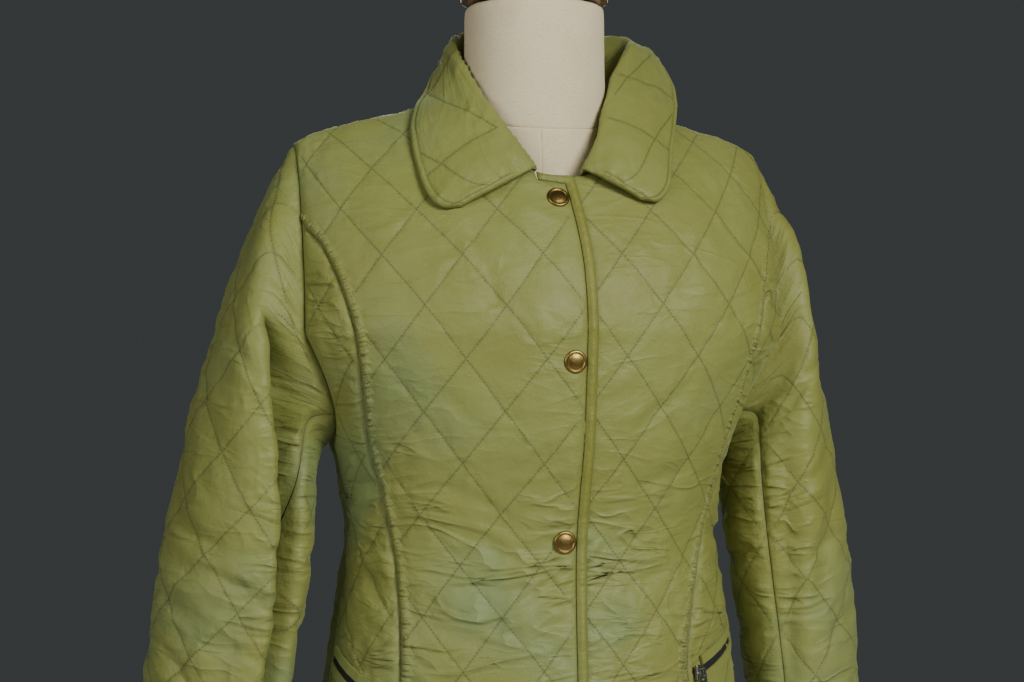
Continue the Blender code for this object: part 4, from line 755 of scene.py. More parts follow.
def buildPanel(spec):
    ring = spec["ring"] if ringArea(spec["ring"]) > 0 else spec["ring"][::-1]
    keep = np.linalg.norm(ring - np.roll(ring, 1, axis=0), axis=1) > 1e-5
    ring = ringInset(ring[keep], jacket["gap"])
    closed, count = closedRing(ring), len(ring)
    flat = panelPoints(spec, ring, closed)
    border = [(k, (k + 1) % count) for k in range(count)]
    made = delaunay_2d_cdt([tuple(map(float, p)) for p in flat], border, [], 1, 1e-7)
    flat, faces = np.array([tuple(p) for p in made[0]]), np.array(made[2])
    edges = np.vstack((faces[:, [0, 1]], faces[:, [1, 2]], faces[:, [2, 0]]))
    keys = {tuple(edge) for edge in edges.tolist()}
    rim = [(a, b) for a, b in keys if (b, a) not in keys]
    outer, normals = spec["surface"](*flat.T)
    back = outer - normals * spec.get("shell", jacket["shell"])
    total = len(flat)
    allFaces = faces.tolist() + [[total + c, total + b, total + a] for a, b, c in faces.tolist()]
    allFaces += [[b, a, total + a, total + b] for a, b in rim]
    mesh = bpy.data.meshes.new(spec["name"])
    mesh.from_pydata(np.vstack((outer, back)).tolist(), [], allFaces)
    loops = np.empty(len(mesh.loops), int)
    mesh.loops.foreach_get("vertex_index", loops)
    mesh.uv_layers.new(name="cloth").data.foreach_set("uv", np.vstack((flat, flat))[loops].ravel())
    for label, values in zip(clothMarks, sewnMarks(spec, flat, closed)):
        mark = mesh.attributes.new(name=label, type="FLOAT", domain="POINT")
        mark.data.foreach_set("value", np.concatenate((values, values)).astype(np.float32))
    reshape(mesh, faceOutwards)
    return addPiece(spec["name"], mesh, spec.get("material", oliveCloth), angle=70)


def addPiece(name, mesh, material, angle):
    mesh.shade_smooth()
    mesh.set_sharp_from_angle(angle=math.radians(angle))
    obj = bpy.data.objects.new(name, mesh)
    bpy.context.scene.collection.objects.link(obj)
    mesh.materials.append(material)
    return obj


stitch = {
    "pitch": 0.0031, "thread": 0.0021, "wide": 0.00036, "high": 0.00026, "above": 0.0001, "margin": 0.004,
    "sample": 0.0034, "diamondSide": 0.0524, "hemUp": 0.012,
}
octahedron = ((0, 2, 4), (2, 1, 4), (1, 3, 4), (3, 0, 4), (2, 0, 5), (1, 2, 5), (3, 1, 5), (0, 3, 5))


def stitchMesh(name, runs, material):  # every stitch is a small long octahedron on its sewn line
    points, faces = [], []
    for line, normal in runs:
        length = runOf(*line.T)
        at = np.arange(stitch["pitch"] / 2, length[-1], stitch["pitch"])
        if len(line) < 2 or not len(at):
            continue
        mid, up = alongLine(at, length, line), unit(alongLine(at, length, normal))
        ahead, behind = (alongLine(at + by * stitch["thread"] / 2, length, line) for by in (1, -1))
        across = unit(np.cross(ahead - behind, up)) * stitch["wide"]
        up = up * stitch["high"]
        for six in np.stack((ahead, behind, mid + across, mid - across, mid + up, mid - up), 1):
            faces += [[len(points) + k for k in three] for three in octahedron]
            points.extend(six.tolist())
    mesh = bpy.data.meshes.new(name)
    mesh.from_pydata(points, [], faces)
    reshape(mesh, lambda work: bmesh.ops.recalc_face_normals(work, faces=work.faces))
    return addPiece(name, mesh, material, angle=80)


def quiltRuns(spec):  # the sewn diamond lines of a panel, as points on its surface
    ring, origin, runs = spec["ring"], spec["origin"], []
    low, high = ring.min(0), ring.max(0)
    first, last = diamondSpan(origin, low, high)
    ends = np.arange(first, last, stitch["sample"] / stitch["diamondSide"])
    for k in range(first, last + 1):
        level = np.full_like(ends, k)
        for p, q in ((level, ends), (ends, level)):
            line = diamondPlaces(p, q, origin)
            line = line[((line > low) & (line < high)).all(1)]
            if len(line) < 3:
                continue
            good = insideOf(line, ring)
            good[good] &= nearLine(line[good], closedRing(ring))[0] > stitch["margin"]
            if "noStitch" in spec:
                good &= ~spec["noStitch"](*line.T)
            cuts = np.flatnonzero(np.diff(np.concatenate(([False], good, [False])).astype(int)))
            runs += [lifted(spec, line[a:b]) for a, b in zip(cuts[::2], cuts[1::2]) if b - a > 2]
    return runs


def lifted(spec, line):
    points, normals = spec["surface"](*line.T)
    return points + normals * stitch["above"], normals


# materials: a source is another node's output, or else a plain value
def feed(tree, node, inputs):
    for key, source in inputs.items():
        if isinstance(source, bpy.types.NodeSocket):
            tree.links.new(source, node.inputs[key])
        else:
            node.inputs[key].default_value = source


def addNode(tree, kind, inputs, **settings):
    node = tree.nodes.new("ShaderNode" + kind)
    for key, value in settings.items():
        setattr(node, key, value)
    feed(tree, node, inputs)
    return node


def nodesOf(name):
    material = bpy.data.materials.new(name)
    material.use_nodes = True
    return material, material.node_tree, addNode(material.node_tree, "TexCoord", {}).outputs["Object"]


def finishLook(material, inputs):
    feed(material.node_tree, material.node_tree.nodes["Principled BSDF"], inputs)
    return material


def noiseOf(tree, vector, scale, detail=3.0, rough=0.55, distortion=0.0):
    inputs = {"Vector": vector, "Scale": scale, "Detail": detail, "Roughness": rough}
    return addNode(tree, "TexNoise", {**inputs, "Distortion": distortion}).outputs["Fac"]


def stretchOf(tree, vector, scale, turn=0.0):
    inputs = {"Vector": vector, "Rotation": (0, 0, math.radians(turn)), "Scale": scale}
    return addNode(tree, "Mapping", inputs).outputs["Vector"]


def rampOf(tree, source, *stops):
    ramp = addNode(tree, "ValToRGB", {"Fac": source})
    elements = ramp.color_ramp.elements
    elements[0].position, elements[0].color = stops[0]
    elements[1].position, elements[1].color = stops[-1]
    for position, colour in stops[1:-1]:
        elements.new(position).color = colour
    return ramp.outputs["Color"]


def bumpOf(tree, height, strength, distance, before=None):
    inputs = {"Strength": strength, "Distance": distance, "Height": height}
    if before is not None:
        inputs["Normal"] = before
    return addNode(tree, "Bump", inputs).outputs["Normal"]


def mathOf(tree, operation, first, second=0.0):
    return addNode(tree, "Math", {0: first, 1: second}, operation=operation).outputs[0]


def mixOf(tree, share, first, second, blend="MIX"):
    mix = addNode(tree, "Mix", {}, data_type="RGBA", blend_type=blend)
    places = [k for k, socket in enumerate(mix.inputs) if socket.name in ("A", "B") and socket.type == "RGBA"]
    feed(tree, mix, {"Factor": share, places[0]: first, places[1]: second})
    return [socket for socket in mix.outputs if socket.type == "RGBA"][0]


def grey(value):
    return value, value, value, 1


def crestOf(tree, uv, turn, scale, width):  # crisp crests of a stretched noise
    noise = noiseOf(tree, stretchOf(tree, uv, scale, turn), 1.0, 2.0, 0.45, 0.8)
    off = mathOf(tree, "ABSOLUTE", mathOf(tree, "SUBTRACT", noise, 0.5))
    near = mathOf(tree, "ADD", mathOf(tree, "MULTIPLY", off, -1 / width), 1.0)
    return mathOf(tree, "POWER", mathOf(tree, "MAXIMUM", near, 0.0), 1.6)


def wovenCloth(name, look):
    material, tree, place = nodesOf(name)
    uv = addNode(tree, "UVMap", {}, uv_map="cloth").outputs["UV"]
    marks = {mark: addNode(tree, "Attribute", {}, attribute_name=mark).outputs["Fac"] for mark in clothMarks}
    # the cloth's own tone varies at random in patches; the cool tone among them is a painted reflection of
    # the surroundings
    tonesWithReflection = zip((0.34, 0.52, 0.68), (look["warm"], look["middle"], look["coolReflection"]))
    tone = rampOf(tree, noiseOf(tree, place, *look["patches"]), *tonesWithReflection)
    grain = rampOf(tree, noiseOf(tree, uv, *look["slubs"]), (0.3, grey(0.90)), (0.7, grey(1.07)))
    cloth = mixOf(tree, 1.0, tone, grain, "MULTIPLY")
    # painted shade: the dark line colour is mixed in along the edges and sewn lines, as shade in their
    # grooves
    colour = mixOf(tree, mathOf(tree, "MULTIPLY", marks["sewn"], look["paintedLineShade"]), cloth, look["line"])
    broad = noiseOf(tree, place, *look["broad"])
    last = bumpOf(tree, broad, 0.50, 0.0030)
    for turn, scale, width, deep in look["crests"]:
        where = rampOf(tree, noiseOf(tree, uv, 9.0 + turn / 30, 2.0), (0.44, grey(0)), (0.58, grey(1)))
        crest = mathOf(tree, "MULTIPLY", crestOf(tree, uv, turn, scale, width), where)
        last = bumpOf(tree, mathOf(tree, "MULTIPLY", crest, marks["creased"]), 1.0, deep, last)
    rungs = addNode(tree, "TexNoise", {}, noise_dimensions="1D")  # drawn up across the felled seam
    feed(tree, rungs, {"Scale": look["rungs"], "Detail": 1.0, "W": marks["along"]})
    rung = mathOf(tree, "MULTIPLY", rungs.outputs["Fac"], marks["beside"])
    last = bumpOf(tree, rung, 1.0, look["rungHeight"], last)
    drawn = mathOf(tree, "MULTIPLY", noiseOf(tree, place, *look["tight"]), marks["drawn"])
    last = bumpOf(tree, drawn, 0.75, 0.0018, last)
    for direction in ("X", "Y"):
        inputs = {"Vector": uv, "Scale": look["weave"], "Distortion": 0.6}
        wave = addNode(tree, "TexWave", inputs, wave_type="BANDS", bands_direction=direction)
        last = bumpOf(tree, wave.outputs["Fac"], 0.07, 0.00015, last)
    return finishLook(material, {
        "Base Color": colour, "Normal": last, "Sheen Weight": look["sheen"], "Sheen Roughness": 0.40,
        "Roughness": rampOf(tree, broad, (0.3, grey(0.47)), (0.7, grey(0.60))),
        "Sheen Tint": look["sheenTint"], "Specular IOR Level": look["specular"],
    })


def plainLook(name, colour, rough, metallic=0.0, grain=0.0, grainScale=200.0):
    material, tree, place = nodesOf(name)
    inputs = {"Base Color": colour, "Roughness": rough, "Metallic": metallic}
    if grain:
        inputs["Normal"] = bumpOf(tree, noiseOf(tree, place, grainScale), grain, 0.0006)
    return finishLook(material, inputs)


olive = {
    # warm and middle are the cloth's own tones; the cool one is a painted reflection
    "warm": (0.204, 0.210, 0.046, 1), "middle": (0.218, 0.237, 0.060, 1), "coolReflection": (0.194, 0.241, 0.086, 1),
    # line is the colour of the painted shade in the grooves along sewn lines and edges; the next value sets
    # how much of it is mixed in
    "line": (0.060, 0.062, 0.016, 1), "paintedLineShade": 0.42, "weave": 420.0, "sheen": 0.20,
    "sheenTint": (0.72, 0.86, 0.42, 1), "specular": 0.30, "rungs": 210.0, "rungHeight": 0.0042,
    # noises: scale, detail and roughness
    "patches": (7.0, 3.0, 0.5), "slubs": (900.0, 2.0), "broad": (38.0, 5.0, 0.58), "tight": (150.0, 3.0, 0.6),
    "crests": (  # direction, noise scale along and across it, width of the crest, height
        (8.0, (10.0, 27.0, 1.0), 0.10, 0.0026), (-48.0, (11.0, 30.0, 1.0), 0.09, 0.0026),
        (56.0, (11.0, 30.0, 1.0), 0.09, 0.0026), (-22.0, (26.0, 62.0, 1.0), 0.12, 0.0008),
    ),
}
oliveCloth = wovenCloth("olive_cloth", olive)
# a darker binding cloth; its cool tone is a painted reflection, as on the olive cloth
bindingCloth = wovenCloth("binding_cloth", dict(
    olive, warm=(0.184, 0.186, 0.031, 1), middle=(0.198, 0.206, 0.040, 1), coolReflection=(0.180, 0.214, 0.058, 1)))
# painted shade: the thread gets a dark colour that stands in for the shade in its stitch holes
threadShadeLook = plainLook("thread", (0.070, 0.072, 0.020, 1), 0.60)
brassLook = plainLook("antique_brass", (0.250, 0.172, 0.050, 1), 0.35, 1.0, 0.25, 420.0)
tapeLook = plainLook("zip_tape_cloth", (0.008, 0.008, 0.008, 1), 0.75, 0.0, 0.4, 1500.0)
silverLook = plainLook("pull_silver", (0.560, 0.550, 0.520, 1), 0.26, 1.0, 0.1, 600.0)
steelLook = plainLook("pole_steel_look", (0.480, 0.480, 0.480, 1), 0.30, 1.0, 0.1, 150.0)
print("materials ready")


# what each panel's surface adds to the body's shape
def joinedRing(*runs):
    points = []
    for run in runs:
        for point in thickened(run, 0.0035) if len(run) > 1 else np.array(run, float):
            if not points or np.linalg.norm(point - points[-1]) > 2e-4:
                points.append(point)
    if np.linalg.norm(points[0] - points[-1]) < 2e-4:
        points.pop()
    return np.array(points)


def rimLine(uvs, rims):  # a seam shared with another surface: its places and their shared normals
    uvs, normals = np.array(uvs, float), np.array([normal for _, normal in rims])
    fine, run = thickened(uvs), runOf(*uvs.T)
    return fine, unit(alongLine(np.linspace(0, run[-1], len(fine)), run, normals))


def blendRims(u, v, normals, rims, reach=0.014):
    points = np.stack((u, v), -1)
    for line, shared in rims:
        near = ((points > line.min(0) - reach) & (points < line.max(0) + reach)).all(1)
        if not near.any():
            continue
        away, along = nearLine(points[near], line)
        there = unit(alongLine(along, runOf(*line.T), shared))
        w = (1 - ease(0, reach, away))[:, None]
        normals[near] = unit(normals[near] * (1 - w) + there * w)
    return normals


relief = {  # the noises have their share, width, height and seed, and how far they stay from the edges
    "wave": 0.0010, "waves": ((1.0, 0.055, 0.040, 5), (0.6, 0.024, 0.019, 9)), "waveClear": 0.010,
    "crumple": 0.0013, "crumples": ((1.0, 0.024, 0.024, 15, 0.007), (0.6, 0.013, 0.015, 35, 0.006)),
    "turnIn": 0.0009, "turnWidth": 0.0022, "creaseClear": 0.012, "wrinkleBend": 0.012, "wrinkleClear": 0.010,
}


def reliefOf(spec, u, v):  # height of the cloth's outer face above its plain wall
    points = np.stack((u, v), -1)
    away, _ = nearLine(points, closedRing(spec["ring"]))
    flat = spec["flat"](u, v) if "flat" in spec else 1.0
    height = np.zeros(len(u))
    if "origin" in spec:
        height += puffOf(u, v, spec["origin"])[0] * ease(0.0, quilt["fade"], away) * flat
    if "quiltLines" in spec:
        near = nearestOf(points, spec["quiltLines"])
        lift = quilt["rise"] * (1 - np.exp(-near / quilt["shoulder"]))
        lift += quilt["crown"] * ease(0.0, quilt["crownReach"], near)
        height += lift * ease(0.0, quilt["fade"], away) * flat
    height += puckerHeight(points, spec.get("puckers", ()))
    height += creaseHeight(u, v, spec.get("creases", ())) * ease(0.0, relief["creaseClear"], away)
    wave = sum(share * softNoise(u / wide, v / tall, seed) for share, wide, tall, seed in relief["waves"])
    height += spec.get("wave", relief["wave"]) * wave * ease(0.0, relief["waveClear"], away)
    for share, wide, tall, seed, clear in relief["crumples"]:
        height += share * relief["crumple"] * creased(u / wide, v / tall, seed) * ease(0.0, clear, away)
    for low, high, wide, tall, deep, seed in spec.get("wrinkles", ()):  # fine folds across a band of heights
        margin = 0.25 * (high - low)
        shown = ease(low, low + margin, v) * (1 - ease(high - margin, high, v))
        bent = v + relief["wrinkleBend"] * softNoise(u / 0.045, v / 0.06, seed + 1)
        fold = softNoise(u / wide, bent / tall, seed)
        fold = fold + 0.5 * softNoise(u / (wide * 0.6), bent / (tall * 0.55), seed + 2)
        height += deep * shown * fold * ease(0.0, relief["wrinkleClear"], away)
    if "raise" in spec:
        height += spec["raise"](points)
    return height - relief["turnIn"] * (1 - ease(0.0, relief["turnWidth"], away))  # in at its sewn edges


def bodySurface(spec, face, lapping=False):
    def surface(u, v):
        plain = body.normal(face, u, v)
        base = body.point(face, u, v) + (plain * lapLift(u)[:, None] if lapping else 0)
        normal = blendRims(u, v, plain, spec.get("rims", ()))
        out = jacket["wall"] + spec.get("wallMore", 0.0) + reliefOf(spec, u, v)
        return base + normal * out[:, None], normal

    return dict(spec, surface=surface)


# the fronts
snaps = {"heights": (1.297, 1.168, 1.023, 0.868), "radius": 0.0093, "fromBinding": 0.0010,
         "pressed": 0.15, "pressedTo": (0.010, 0.030)}


def neckV(x):
    return neckUv("front", x)[1]


snapHeights = [body.heightV("front", 0.0, z) for z in snaps["heights"]]


def snapU(v):
    return float(lapOut(v)) - jacket["binding"] - snaps["radius"] - snaps["fromBinding"]


def nearSnaps(u, v):
    shown, low = np.ones(len(u)), snaps["pressed"]
    for height in snapHeights:
        away = np.hypot(u - snapU(height), v - height)
        shown = np.minimum(shown, low + (1 - low) * ease(*snaps["pressedTo"], away))
    return shown


def frontEdge(side):
    if side == "right":
        levels = spread(jacket["hem"], neckV(0) - jacket["binding"])
        return [(float(lapOut(v)) - jacket["binding"], v) for v in levels]
    levels = spread(jacket["hem"], neckV(jacket["lapUnder"]) - jacket["underNeck"])
    return [(-jacket["lapUnder"], v) for v in levels]


def armRims(side, face, first, last):
    places = spread(first, last, 4)
    uvs = [armholeUv(face, a / 180) for a in places]
    uvs = mirrored(uvs) if flipped(side, face) else uvs
    return rimLine(uvs, [sleeves[side].rim(a if face == "front" else 360 - a) for a in places])


def neckRims(side, face):
    turn = -1 if side == "right" else 1
    shares = np.linspace(0, 0.5, 16) if face == "front" else np.linspace(0.5, 1.0, 16)
    uvs = [neckUv(face, neckOut(face, share)) for share in shares]
    uvs = mirrored(uvs) if flipped(side, face) else uvs
    return rimLine(uvs, [collar.rim(turn * collarTable["half"] * (1 - share)) for share in shares])


frontQuilt = {"right": (0.008, 0.963), "left": (0.011, 0.965)}  # where a crossing of the sewn lines lies
felled = {  # the seam beside the side front: its raised band, the sewn line along it and the rungs between
    "band": 0.0015, "bandEnd": (0.0050, 0.0074), "line": 0.0056, "dip": 0.0007, "dipWide": 0.0009,
    "rungs": 0.0010, "pitch": 0.0046, "rungStart": (0.0006, 0.0022), "rungEnd": (0.0050, 0.0085),
}


def felledLines(seamLine, outline):  # the sewn line beside a felled seam, on the side that the outline holds
    sides = [shifted(seamLine, by) for by in (felled["line"], -felled["line"])]
    sides = [line[insideOf(line, outline)] for line in sides]
    return [line for line in sides if len(line) > 20]


def frontPanel(side):
    sides = mirrored if side == "right" else list
    seam, edge, angle = seamRun(side), frontEdge(side), jacket["seamAngle"]
    neck = neckRun("front", jacket["collarStart"], jacket["neckHalf"])
    if side == "right":
        line = [edge[-1], (-jacket["bindingEnd"], neckV(jacket["collarStart"]) - jacket["binding"])]
    else:
        places = (-jacket["lapUnder"], -0.008, 0.0, 0.0095)
        line = [(x, neckV(abs(x)) - jacket["underNeck"]) for x in places]
    outline = joinedRing(
        [sides(seam)[0], edge[0]], edge, line, [line[-1], sides(neck)[0]], sides(neck),
        sides(backwards(shoulderRun("front"))), sides(armholeRun("front", 0, angle)), sides(backwards(seam)),
    )
    seamLine, armLine = thickened(sides(seam)), thickened(sides(armholeRun("front", 0, angle)))

    def flat(u, v):
        shown = nearSnaps(u, v)
        return shown * ease(0.020, 0.036, u) if side == "left" else shown

    def raised(points):
        away, along = nearLine(points, seamLine)
        rungs = felled["rungs"] * softNoise(along / felled["pitch"], away / 0.02, 71)
        rungs = rungs * ease(*felled["rungStart"], away) * (1 - ease(*felled["rungEnd"], away))
        dip = felled["dip"] * np.exp(-((away - felled["line"]) / felled["dipWide"]) ** 2)
        return felled["band"] * (1 - ease(*felled["bandEnd"], away)) - dip + rungs

    return bodySurface({
        "name": f"cloth_front_{side}", "ring": outline, "origin": frontQuilt[side],
        "creases": frontCreases[side], "flat": flat, "raise": raised,
        "rims": [armRims(side, "front", 0, angle), neckRims(side, "front")],
        "puckers": [(seamLine, "front", 11), (armLine, "frontArm", 17)],
        "creased": lambda u, v: 0.16 + 0.50 * (1 - ease(1.00, 1.13, v)),
        "ladder": seamLine, "sewnLines": felledLines(seamLine, outline),
        "wrinkles": ((0.935, 1.080, 0.060, 0.015, 0.00055, 81), (0.745, 0.860, 0.080, 0.030, 0.00060, 83)),
    }, "front", side == "right")


frontCreases = {  # in millimetres: start, end, bow, half width, depth
    "right": (
        (-125, 1235, -50, 1205, 6, 9, 1.6), (-110, 1150, -60, 1110, -4, 8, 1.4),
        (-118, 1070, -50, 1045, 4, 8, 1.8), (-112, 1035, -40, 1008, 5, 8, 1.8),
        (-105, 1000, -30, 985, -4, 7, 1.6), (-118, 955, -55, 935, 3, 9, 1.4),
        (-90, 1290, -60, 1200, 5, 11, 1.4), (-40, 1260, -20, 1200, -3, 10, 1.2),
        (-125, 880, -60, 870, 4, 10, 1.4), (-120, 820, -50, 815, -5, 11, 1.4),
    ),
    "left": (
        (115, 1240, 50, 1215, 5, 10, 1.6), (110, 1160, 55, 1120, 4, 8, 1.6),
        (108, 1080, 50, 1060, -4, 8, 1.8), (105, 1045, 40, 1020, 4, 8, 1.8),
        (95, 1005, 35, 985, 5, 8, 1.8), (95, 965, 45, 945, -3, 8, 1.4),
        (80, 1290, 55, 1210, 5, 11, 1.4), (100, 880, 50, 860, 4, 10, 1.4),
        (105, 815, 50, 805, -5, 11, 1.4),
    ),
}


# the side fronts, with the pocket's line pressed flat
pocket = {  # heights of its lower and upper end; how far it stays from the seams and the stitches from it
    "right": (0.888, 0.921), "left": (0.910, 0.943), "fromSeam": 0.006, "fromSide": 0.016, "clear": 0.0135,
}
sideQuilt = {"right": (-0.180, 1.004), "left": (0.180, 1.004)}
sideFlat = {"right": (0.35, 0.90, 0.99), "left": (0.50, 0.88, 0.97)}  # the wadding's lift below, and its end


def pocketLine(side):
    lowZ, highZ = pocket[side]
    low = (body.uAt("front", float(seamX(side)(lowZ)), lowZ) + pocket["fromSeam"], lowZ)
    return np.array((low, (float(body.sideAt("front", highZ)) - pocket["fromSide"], highZ)))


def sideRun(face):
    return [(float(body.sideAt(face, v)), v) for v in spread(jacket["hem"], jacket["underarm"])]


def sidePanel(side):
    sides = mirrored if side == "right" else list
    turn = -1 if side == "right" else 1
    seam, upSide, line, angle = seamRun(side), sideRun("front"), pocketLine(side), jacket["seamAngle"]
    outline = joinedRing(
        [sides(seam)[0], sides(upSide)[0]], sides(upSide), sides(armholeRun("front", 180, angle)),
        sides(backwards(seam)),
    )
    seamLine, sideLine = thickened(sides(seam)), thickened(sides(upSide))

    def fromPocket(u, v):
        return nearLine(np.stack((u * turn, v), -1), line)[0]

    def flat(u, v):
        low, start, end = sideFlat[side]
        return (0.04 + 0.96 * ease(0.016, 0.034, fromPocket(u, v))) * (low + (1 - low) * ease(start, end, v))

    return bodySurface({
        "name": f"cloth_side_{side}", "ring": outline, "origin": sideQuilt[side], "flat": flat,
        "raise": lambda points: -0.0007 * (1 - ease(0.0, 0.006, nearLine(points, seamLine)[0])),
        "rims": [armRims(side, "front", angle, 180)],
        "puckers": [(seamLine, "side", 23), (sideLine, "underarm", 29)],
        "creases": sideCreases[side], "wave": 0.0011, "creased": lambda u, v: np.full(len(u), 0.75),
        "wrinkles": ((0.930, 1.090, 0.045, 0.013, 0.00110, 85),),
        "noStitch": lambda u, v: fromPocket(u, v) < pocket["clear"],
    }, "front")


sideCreases = {
    "right": (
        (-150, 1080, -205, 1070, 4, 9, 1.8), (-140, 1030, -200, 1015, 5, 9, 2),
        (-145, 990, -195, 985, -4, 9, 1.8), (-150, 960, -210, 940, 4, 10, 1.6),
        (-160, 850, -210, 800, 6, 14, 1.8), (-190, 1160, -215, 1110, 3, 10, 1.6),
    ),
    "left": (
        (140, 1085, 205, 1075, 4, 9, 1.8), (135, 1035, 200, 1020, -5, 9, 2),
        (130, 995, 195, 985, 4, 9, 1.8), (150, 860, 205, 810, 6, 14, 1.8),
        (130, 845, 160, 790, 4, 11, 1.6), (190, 1160, 215, 1110, 3, 10, 1.6),
    ),
}


# the back
backCreases = (
    (-190, 1060, -110, 1045, 4, 9, 1.8), (-185, 1020, -90, 1010, -5, 10, 2),
    (-180, 985, -110, 975, 4, 9, 1.8), (190, 1065, 110, 1050, -4, 9, 1.8),
    (185, 1025, 95, 1005, 5, 10, 2), (180, 985, 105, 970, 4, 9, 1.8),
    (-70, 1020, 60, 1000, 6, 10, 1.8), (-150, 1220, -100, 1140, 6, 12, 1.6),
    (150, 1215, 105, 1130, -6, 12, 1.6), (-150, 860, -80, 830, 5, 12, 1.6),
    (150, 865, 80, 840, -5, 12, 1.6),
)


def backPanel():
    upSide = sideRun("back")
    hem, arm, shoulder = [(0.0, jacket["hem"]), upSide[0]], armholeRun("back", 180, 0), shoulderRun("back")
    half = (hem, upSide, arm, shoulder, neckRun("back", jacket["neckHalf"], 0.0))
    lines = [thickened(run) for run in (upSide, mirrored(upSide), arm, mirrored(arm))]
    rims = [armRims(side, "back", 0, 180) for side in ("right", "left")]
    otherHalf = [backwards(mirrored(run)) for run in reversed(half)]
    return bodySurface({
        "name": "cloth_back", "ring": joinedRing(*half, *otherHalf),
        "origin": (0.0, 1.020), "rims": rims + [neckRims(side, "back") for side in ("right", "left")],
        "puckers": [(line, "side", 31 + k) for k, line in enumerate(lines)],
        "creases": backCreases,
    }, "back")


# sleeves: an upper and an under piece each
sleeveParts = {"upper": (-100, 140), "under": (140, 260)}  # the angles of their two seams
sleeveQuilt = {"right": (0.028, 0.054), "left": (-0.022, 0.068)}
foldRows = {"start": -0.0060, "end": 0.0300, "step": 0.0014, "low": 0.090, "high": 0.476,
            "band": (-0.0068, 0.0306)}


def foldDetail(sleeve):  # rows of points along the deep fold, in place of the quilting's
    heights = np.arange(foldRows["low"], foldRows["high"], 0.0020)
    offsets = tuple(np.arange(foldRows["start"], foldRows["end"], foldRows["step"]))

    def inFold(u, v):
        off = u - sleeve.uAt(foldAngle(v))
        low, high = foldRows["band"]
        return (off > low) & (off < high) & (v > heights[0]) & (v < heights[-1])

    foldLine = np.stack((sleeve.uAt(foldAngle(heights)), heights), -1)
    return {"rowsOnly": inFold, "denseLines": [(foldLine, offsets)]}


def sleevePanel(side, part):
    sleeve, (first, last) = sleeves[side], sleeveParts[part]
    topRun = [(float(sleeve.uAt(a)), float(sleeve.top(a))) for a in spread(first, last, 2.0)]
    start, end = ([(u, 0.0), (u, top)] for u, top in (topRun[0], topRun[-1]))
    outline = joinedRing([start[0], end[0]], end, backwards(topRun), backwards(start))
    angles = spread(first - 4, last + 4, 4.0)
    rims = rimLine([(sleeve.uAt(a), float(sleeve.top(a))) for a in angles], [sleeve.rim(a) for a in angles])
    spec = {
        "name": f"cloth_sleeve_{part}_{side}", "ring": outline, "origin": sleeveQuilt[side],
        "puckers": [(thickened(start), "sleeve", 41), (thickened(end), "sleeve", 42),
                    (thickened(topRun), "sleeveTop", 47)],
        "creases": sleeveCreases[side], "wave": 0.0013,
        "wrinkles": ((0.020, 0.330, 0.050, 0.017, 0.00105, 87), (0.300, 0.520, 0.070, 0.030, 0.00060, 89)),
        "creased": lambda u, v: 0.30 + 0.40 * (1 - ease(0.25, 0.50, v)),
    }
    if (side, part) == ("right", "upper"):
        spec.update(foldDetail(sleeve))

    def surface(u, v):
        normal = blendRims(u, v, sleeve.normal(u, v), [rims])
        out = jacket["wall"] + reliefOf(spec, u, v)
        return sleeve.point(u, v) + normal * out[:, None], normal

    return dict(spec, surface=surface)


sleeveCreases = {
    "right": (
        (60, 250, 130, 215, 5, 10, 3), (10, 300, 75, 270, -6, 10, 2.6),
        (55, 190, 120, 180, 6, 9, 2.6), (0, 225, 70, 200, 5, 11, 2.6),
        (-50, 260, 10, 235, -5, 11, 2.4), (50, 140, 125, 130, -4, 10, 2.4),
        (0, 110, 60, 85, 4, 11, 2.2), (30, 440, 90, 400, 6, 10, 2.2),
        (-40, 430, 10, 360, 6, 12, 2), (60, 60, 120, 50, 3, 9, 2),
        (145, 270, 225, 250, 4, 10, 2.6), (150, 215, 220, 200, -4, 9, 2.4),
        (-110, 300, -50, 270, 4, 11, 2.2), (-105, 180, -50, 165, -4, 10, 2),
    ),
    "left": (
        (60, 420, 120, 370, 6, 10, 2.6), (50, 350, 115, 310, -6, 10, 2.6),
        (45, 265, 125, 235, 6, 10, 3), (35, 205, 115, 175, -5, 10, 2.6),
        (55, 150, 130, 120, 5, 9, 2.6), (50, 100, 120, 80, -4, 9, 2.4),
        (-30, 400, 30, 360, 5, 12, 2), (-40, 260, 30, 240, -5, 11, 2.6),
        (-30, 130, 35, 110, 5, 10, 2.4), (145, 260, 225, 240, 4, 10, 2.6),
        (150, 200, 220, 190, -4, 9, 2.4), (-110, 290, -50, 260, 4, 11, 2.2),
        (-105, 170, -50, 155, -4, 10, 2),
    ),
}


# collar
collarQuilt = {"starts": (-0.120, -0.056, 0.008, 0.072), "from": 0.047, "to": 0.007, "ends": (-0.118, 0.100)}
collarEdge = {
    "roll": 0.0011, "rollAt": 0.0036, "rollWide": 0.0026, "dip": 0.0009, "line": 0.0072, "dipWide": 0.0012,
}


